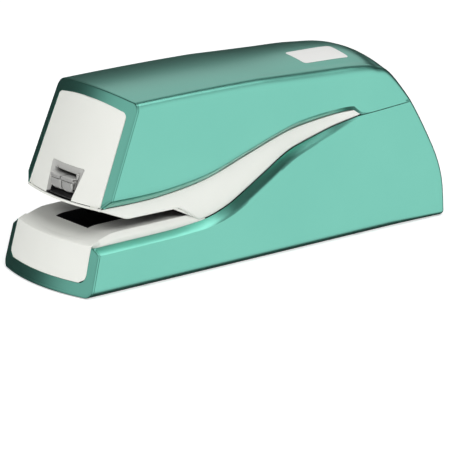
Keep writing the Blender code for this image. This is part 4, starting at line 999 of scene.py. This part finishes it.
label_rows = []
for i in range(LABEL_STEPS + 1):
    share = 0.5 - 0.5 * math.cos(math.pi * i / LABEL_STEPS)
    y = LABEL_Y[0] + (LABEL_Y[1] - LABEL_Y[0]) * share
    inset = label_corner_inset(share)
    row = []
    for k in range(LABEL_STEPS + 1):
        x = LABEL_X[0] + inset + (LABEL_X[1] - LABEL_X[0] - 2 * inset) * k / LABEL_STEPS
        place, normal, _, _ = cover_tree.ray_cast(Vector((x, y, 2 * HEIGHT)), Vector((0, 0, -1)))
        row.append(place + normal * LABEL_LIFT)
    label_rows.append(row)
label = grid_piece("label_sheet", label_rows)
point_outwards(label, (0, 0, 1))
label_wall = label.modifiers.new("wall", "SOLIDIFY")
label_wall.thickness = LABEL_THICKNESS
settle_mesh(label)
stand_for(label, "label")
print("label:", round((LABEL_Y[1] - LABEL_Y[0]) / MM, 1), "mm long")

# %% [markdown]
# ## Springs
# Both springs are wound wire. They are drawn as a fine helix with closed end coils, running from end
# to end of the box of their CAD node.

# %% Springs
SEGMENTS_PER_TURN, WIRE_SIDES = 36, 10


def spring(node, axis, turns, coil_radius, wire, fixed_low):
    """A compression spring in the box of its CAD node, along one axis."""
    low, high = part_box(node)
    centre = (low + high) / 2
    length = high[axis] - low[axis]
    steps = turns * SEGMENTS_PER_TURN
    ring = WIRE_SIDES
    vertices, faces = [], []
    for i in range(steps + 1):
        share = i / steps
        ends = min(share, 1 - share) * turns
        turn = 2 * math.pi * turns * share
        climb = wire + (length - 2 * wire) * share
        if ends < 1:
            tight = wire + 2 * wire * ends if share < 0.5 else length - wire - 2 * wire * ends
            climb = tight * (1 - ends) + climb * ends
        for k in range(ring):
            spin = 2 * math.pi * k / ring
            reach = coil_radius + wire * math.cos(spin)
            along = climb + wire * math.sin(spin)
            a, b = reach * math.cos(turn), reach * math.sin(turn)
            if axis == 2:
                vertices.append((centre.x + a, centre.y + b, low.z + along))
            else:
                vertices.append((centre.x + a, low.y + along, centre.z + b))
    for i in range(steps):
        for k in range(ring):
            after = (k + 1) % ring
            faces.append((i * ring + k, i * ring + after, (i + 1) * ring + after, (i + 1) * ring + k))
    faces += [tuple(range(ring)), tuple(reversed(range(steps * ring, (steps + 1) * ring)))]
    obj = mesh_from(node + "_wire", vertices, faces)
    weld(obj)
    obj.data.set_sharp_from_angle(angle=math.radians(50))
    stand_for(obj, node)
    seat = list(centre)
    seat[axis] = low[axis] if fixed_low else high[axis]
    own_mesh(obj)
    return obj


return_spring = spring(
    "return_spring", axis=2, turns=6, coil_radius=2.6 * MM, wire=0.35 * MM,
    fixed_low=True,
)
pusher_spring = spring(
    "pusher_spring", axis=1, turns=9, coil_radius=1.5 * MM, wire=0.25 * MM,
    fixed_low=False,
)
print("springs:", return_spring.name, pusher_spring.name)

# %% [markdown]
# ## Finishes
# Each finish is a Principled material whose colour and roughness vary slightly, with a fine bump.
# Two recipes, one for moulded plastic and one for rolled metal, serve nearly every piece.

# %% Material helpers
def new_finish(name, colour, metallic=0.0, roughness=0.4, coat=0.0, coat_roughness=0.1, ior=1.5):
    material = bpy.data.materials.new(name)
    material.use_nodes = True
    shader = material.node_tree.nodes["Principled BSDF"]
    shader.inputs["Base Color"].default_value = (*colour, 1)
    shader.inputs["Metallic"].default_value = metallic
    shader.inputs["Roughness"].default_value = roughness
    shader.inputs["Coat Weight"].default_value = coat
    shader.inputs["Coat Roughness"].default_value = coat_roughness
    shader.inputs["IOR"].default_value = ior
    return material, material.node_tree, shader


def noise(tree, scale, detail=4.0, stretch=(1, 1, 1)):
    """Noise over the object's own coordinates, which are metres."""
    place = tree.nodes.new("ShaderNodeTexCoord")
    mapping = tree.nodes.new("ShaderNodeMapping")
    mapping.inputs["Scale"].default_value = stretch
    texture = tree.nodes.new("ShaderNodeTexNoise")
    texture.inputs["Scale"].default_value = scale
    texture.inputs["Detail"].default_value = detail
    tree.links.new(place.outputs["Object"], mapping.inputs["Vector"])
    tree.links.new(mapping.outputs["Vector"], texture.inputs["Vector"])
    return texture.outputs["Fac"]


def spread(tree, source, low, high):
    """Maps a 0 to 1 value on to a narrow range."""
    ranger = tree.nodes.new("ShaderNodeMapRange")
    ranger.inputs["To Min"].default_value = low
    ranger.inputs["To Max"].default_value = high
    tree.links.new(source, ranger.inputs["Value"])
    return ranger.outputs["Result"]


def mix_colours(tree, source, first, second):
    mixer = tree.nodes.new("ShaderNodeMix")
    mixer.data_type = "RGBA"
    mixer.inputs["A"].default_value = (*first, 1)
    mixer.inputs["B"].default_value = (*second, 1)
    tree.links.new(source, mixer.inputs["Factor"])
    return mixer.outputs["Result"]


def add_bump(tree, shader, source, strength, distance):
    bump = tree.nodes.new("ShaderNodeBump")
    bump.inputs["Strength"].default_value = strength
    bump.inputs["Distance"].default_value = distance
    tree.links.new(source, bump.inputs["Height"])
    tree.links.new(bump.outputs["Normal"], shader.inputs["Normal"])


def plastic(name, colour, roughness, texture_scale=900, bump_depth=0.02 * MM):
    """Moulded plastic: a fine spark-eroded texture and slightly uneven gloss."""
    material, tree, shader = new_finish(name, colour, roughness=roughness)
    grain = noise(tree, texture_scale, detail=3)
    tree.links.new(spread(tree, grain, roughness - 0.05, roughness + 0.07), shader.inputs["Roughness"])
    darker = tuple(c * 0.965 for c in colour)
    tree.links.new(mix_colours(tree, noise(tree, 60), darker, colour), shader.inputs["Base Color"])
    add_bump(tree, shader, grain, 0.25, bump_depth)
    return material


def metal(name, colour, roughness, stretch=(1, 40, 40), depth=0.01 * MM):
    """Rolled or turned metal: long fine scratches in one direction and a little stain."""
    material, tree, shader = new_finish(name, colour, metallic=1.0, roughness=roughness)
    scratches = noise(tree, 60, detail=5, stretch=stretch)
    tree.links.new(spread(tree, scratches, roughness - 0.08, roughness + 0.1), shader.inputs["Roughness"])
    darker = tuple(c * 0.85 for c in colour)
    tree.links.new(mix_colours(tree, noise(tree, 35), darker, colour), shader.inputs["Base Color"])
    add_bump(tree, shader, scratches, 0.2, depth)
    return material


# %% [markdown]
# ## Metallic lacquer
# The covers are plastic under a metallic lacquer. Almost all of the look is a coloured metal with
# medium roughness. A thin clear coat adds a sharper sheen, and fine noise stands for the flakes.

# %% Metallic lacquer for the two covers
TEAL = (0.2, 0.58, 0.47)
TEAL_DEEP = (0.17, 0.53, 0.43)


def lacquer():
    material, tree, shader = new_finish("metallic_lacquer", TEAL, 0.95, 0.3, coat=0.2, coat_roughness=0.08)
    flakes = noise(tree, 2600, detail=2)
    tree.links.new(spread(tree, flakes, 0.26, 0.36), shader.inputs["Roughness"])
    tree.links.new(mix_colours(tree, noise(tree, 25), TEAL_DEEP, TEAL), shader.inputs["Base Color"])
    add_bump(tree, shader, flakes, 0.12, 0.006 * MM)
    return material


metallic_lacquer = lacquer()
print("lacquer:", metallic_lacquer.name)

# %% [markdown]
# ## The other finishes
# The plastics differ in colour and gloss, and the metals in colour and scratch. The nose's plating
# is only partly metallic, so that it keeps some white of its own.

# %% The other finishes
CHROME_METALLIC = 0.6
white_plastic = plastic("white_plastic", (0.84, 0.85, 0.80), 0.42)
grey_plastic = plastic("grey_plastic", (0.52, 0.52, 0.5), 0.45)
base_grey = plastic("base_grey_plastic", (0.42, 0.43, 0.42), 0.5)
black_plastic = plastic("black_plastic", (0.012, 0.012, 0.014), 0.42)
# Near-black painted shade for the deep walls and floor of the notch, which lie in shadow.
notch_shade_paint = plastic("notch_painted_shade", (0.03, 0.03, 0.032), 0.5)
chrome = metal("chrome_plate", (0.9, 0.9, 0.88), 0.2, depth=0.002 * MM)
chrome.node_tree.nodes["Principled BSDF"].inputs["Metallic"].default_value = CHROME_METALLIC
steel = metal("bright_steel", (0.52, 0.53, 0.55), 0.34)
anvil_steel = metal("anvil_steel", (0.035, 0.034, 0.042), 0.42)
brass = metal("brass", (0.76, 0.56, 0.24), 0.3)
nylon = plastic("nylon", (0.72, 0.69, 0.58), 0.45, texture_scale=500)
rubber = plastic("rubber", (0.018, 0.018, 0.018), 0.85, texture_scale=1500, bump_depth=0.06 * MM)
cell_jacket = plastic("cell_jacket", (0.035, 0.1, 0.3), 0.25, texture_scale=300, bump_depth=0.005 * MM)
circuit_green = plastic("circuit_board", (0.02, 0.16, 0.06), 0.35, texture_scale=700)
sticker = plastic("sticker_paper", (0.9, 0.9, 0.88), 0.55, texture_scale=1200)
print("finishes:", len(bpy.data.materials))

# %% [markdown]
# ## Putting the finishes on
# Every visible piece, and every CAD piece that is carried over, takes the finish of its own slot.
# The walls and floor deep in the notch get a near-black painted shade, and the roof of the paper slot is
# painted black as shade. Those faces are picked out by place.

# %% Assign finishes
SLOT_FINISH = {
    "metallic_cover": metallic_lacquer,
    "white_plastic": white_plastic,
    "grey_plastic": base_grey,
    "black_plastic": black_plastic,
    "chrome_plate": chrome,
    "steel": steel,
    "anvil_steel": anvil_steel,
    "brass": brass,
    "nylon": nylon,
    "rubber": rubber,
    "cell_jacket": cell_jacket,
    "circuit_board": circuit_green,
}


def paint(obj, material):
    obj.data.materials.clear()
    obj.data.materials.append(material)


for node, obj in frame["nodes"].items():
    paint(obj, SLOT_FINISH[NODE_SLOT[node]])
FINE_PIECES = {
    upper_cover: metallic_lacquer,
    lower_shell: metallic_lacquer,
    mid_frame: white_plastic,
    front_panel: white_plastic,
    base_tray: white_plastic,
    notch_bezel: grey_plastic,
    magazine_nose: chrome,
    anvil_plate: anvil_steel,
    label: sticker,
    return_spring: steel,
    pusher_spring: steel,
}
for obj, material in FINE_PIECES.items():
    paint(obj, material)
THROAT_LIP = 1.0 * MM
# These limits pick the notch faces that are deep in shadow, and they take the near-black painted shade.
SHADE_BEHIND = BEZEL_DEPTH + 0.2 * MM
SHADE_BELOW = PANEL_LOW + 0.7 * MM
notch_bezel.data.materials.append(notch_shade_paint)
for polygon in notch_bezel.data.polygons:
    behind = polygon.center.y - front_y(polygon.center.x, polygon.center.z)
    if behind > SHADE_BEHIND or polygon.center.z < SHADE_BELOW:
        polygon.material_index = 1
# The roof of the paper slot lies deep in shadow, and black plastic is painted on it as shade.
mid_frame.data.materials.append(black_plastic)
for polygon in mid_frame.data.polygons:
    x, y, z = polygon.center
    inside = abs(x) < half_width(z) - RECESS[0] - THROAT_LIP
    if inside and y < THROAT_Y and y > SLOT_ROOF[1][0]:
        polygon.material_index = 1
print("pieces painted:", len(FINE_PIECES) + len(frame["nodes"]))

# %% [markdown]
# ## Studio
# A sheet of pale paper lies under the stapler, with broad soft lights to the right, in front and
# above. They light the matt plastics and don't show in the lacquer. What the lacquer reflects is a
# dim room with a few soft bright patches, placed so that each face gets its own tone.

# %% Floor and light
FLOOR_SIZE = 3.0
FLOOR_GLOW = 0.5  # the paper is lit from below too, so that it photographs white


def make_floor():
    reach = FLOOR_SIZE / 2
    corners = [(-reach, -reach, 0), (reach, -reach, 0), (reach, reach, 0), (-reach, reach, 0)]
    sheet = mesh_from("studio_floor", corners, [(0, 1, 2, 3)])
    material, tree, shader = new_finish("studio_paper", (0.93, 0.93, 0.93), roughness=0.85)
    tree.links.new(spread(tree, noise(tree, 300), 0.8, 0.9), shader.inputs["Roughness"])
    shader.inputs["Emission Color"].default_value = (1, 1, 1, 1)
    shader.inputs["Emission Strength"].default_value = FLOOR_GLOW
    paint(sheet, material)
    sheet.visible_glossy = False
    return sheet


def soft_light(name, power, size, place, target):
    data = bpy.data.lights.new(name, "AREA")
    data.energy = power
    data.shape = "RECTANGLE"
    data.size, data.size_y = size
    obj = bpy.data.objects.new(name, data)
    obj.location = place
    obj.rotation_euler = (Vector(target) - Vector(place)).to_track_quat("-Z", "Y").to_euler()
    obj.visible_glossy = False
    bpy.context.scene.collection.objects.link(obj)
    return obj


floor = make_floor()
CENTRE = (0, 0, HEIGHT / 2)
lights = [
    soft_light("light_right", 6.5, (0.8, 0.6), (0.75, 0.0, 0.95), CENTRE),
    soft_light("light_front", 5, (0.9, 0.7), (-0.1, -1.1, 0.6), CENTRE),
    soft_light("light_above", 4.0, (1.0, 0.8), (0.0, 0.0, 1.1), CENTRE),
]


def glow(tree, direction, inner, outer, strength):
    """A soft patch of light in the world: full within one angle, gone by the other."""
    towards = tree.nodes.new("ShaderNodeVectorMath")
    towards.operation = "DOT_PRODUCT"
    towards.inputs[1].default_value = Vector(direction).normalized()
    patch = tree.nodes.new("ShaderNodeMapRange")
    patch.interpolation_type = "SMOOTHERSTEP"
    patch.inputs["From Min"].default_value = math.cos(math.radians(outer))
    patch.inputs["From Max"].default_value = math.cos(math.radians(inner))
    patch.inputs["To Max"].default_value = strength
    tree.links.new(towards.outputs["Value"], patch.inputs["Value"])
    return towards, patch


# Where each patch lies, its inner and outer angle in degrees, and its strength. In turn they show
# in the side wall, the front, the top, the shoulders, and the pieces that face the camera.
GLOWS = [
    ((0.82, 0.57, 0.05), 20, 60, 1.12),
    ((-0.25, -0.90, 0.36), 10, 40, 0.75),
    ((-0.60, 0.58, 0.55), 8, 22, 0.8),
    ((0.20, 0.46, 0.86), 5, 17, 2.6),
    ((0.75, -0.60, 0.20), 20, 50, 0.5),
]
WORLD_BASE = 0.03
WORLD_DIFFUSE = 0.3  # how much of the room lights the matt surfaces


def make_world():
    """A dim room with soft bright panels, which a metallic lacquer needs to show its shape."""
    world = bpy.data.worlds.new("studio_world")
    world.use_nodes = True
    tree = world.node_tree
    place = tree.nodes.new("ShaderNodeTexCoord")
    total = None
    for patch_place in GLOWS:
        towards, patch = glow(tree, *patch_place)
        tree.links.new(place.outputs["Generated"], towards.inputs[0])
        adder = tree.nodes.new("ShaderNodeMath")
        adder.inputs[1].default_value = WORLD_BASE
        tree.links.new(patch.outputs["Result"], adder.inputs[0])
        if total:
            tree.links.new(total, adder.inputs[1])
        total = adder.outputs[0]
    ray = tree.nodes.new("ShaderNodeLightPath")
    dimmer = tree.nodes.new("ShaderNodeMapRange")
    dimmer.inputs["To Min"].default_value = WORLD_DIFFUSE
    tree.links.new(ray.outputs["Is Glossy Ray"], dimmer.inputs["Value"])
    strength = tree.nodes.new("ShaderNodeMath")
    strength.operation = "MULTIPLY"
    tree.links.new(total, strength.inputs[0])
    tree.links.new(dimmer.outputs["Result"], strength.inputs[1])
    background = tree.nodes["Background"]
    background.inputs["Color"].default_value = (1, 1, 1, 1)
    tree.links.new(strength.outputs[0], background.inputs["Strength"])
    return world


bpy.context.scene.world = make_world()
bpy.context.scene.view_settings.view_transform = "Standard"

# %% [markdown]
# ## Camera
# The camera looks at the stapling end from the right and a little above. It stands far off with a
# long lens, as for a product picture, so that parallel edges stay nearly parallel. It is moved
# sideways and down without turning, which leaves room below the stapler.

# %% Camera
AZIMUTH, ELEVATION = math.radians(51.6), math.radians(17.36)
DISTANCE = 2080.7 * MM
SENSOR_WIDTH = 36
FOCAL_SHARE = 11.062  # focal length over sensor width
AIM = Vector((0, -1.55 * MM, 36.09 * MM))
AIM_RIGHT, AIM_UP = -1.956 * MM, -27.962 * MM


def make_camera():
    right = Vector((math.cos(AZIMUTH), math.sin(AZIMUTH), 0))
    flat = Vector((math.sin(AZIMUTH), -math.cos(AZIMUTH), 0))
    back = flat * math.cos(ELEVATION) + Vector((0, 0, math.sin(ELEVATION)))
    up = back.cross(right)
    data = bpy.data.cameras.new("camera")
    data.sensor_width = SENSOR_WIDTH
    data.lens = data.sensor_width * FOCAL_SHARE
    obj = bpy.data.objects.new("camera", data)
    obj.location = AIM + back * DISTANCE - right * AIM_RIGHT + up * AIM_UP
    obj.rotation_euler = back.to_track_quat("Z", "Y").to_euler()
    bpy.context.scene.collection.objects.link(obj)
    return obj


bpy.context.scene.camera = make_camera()
print("camera at, mm:", [round(v / MM) for v in bpy.context.scene.camera.location])
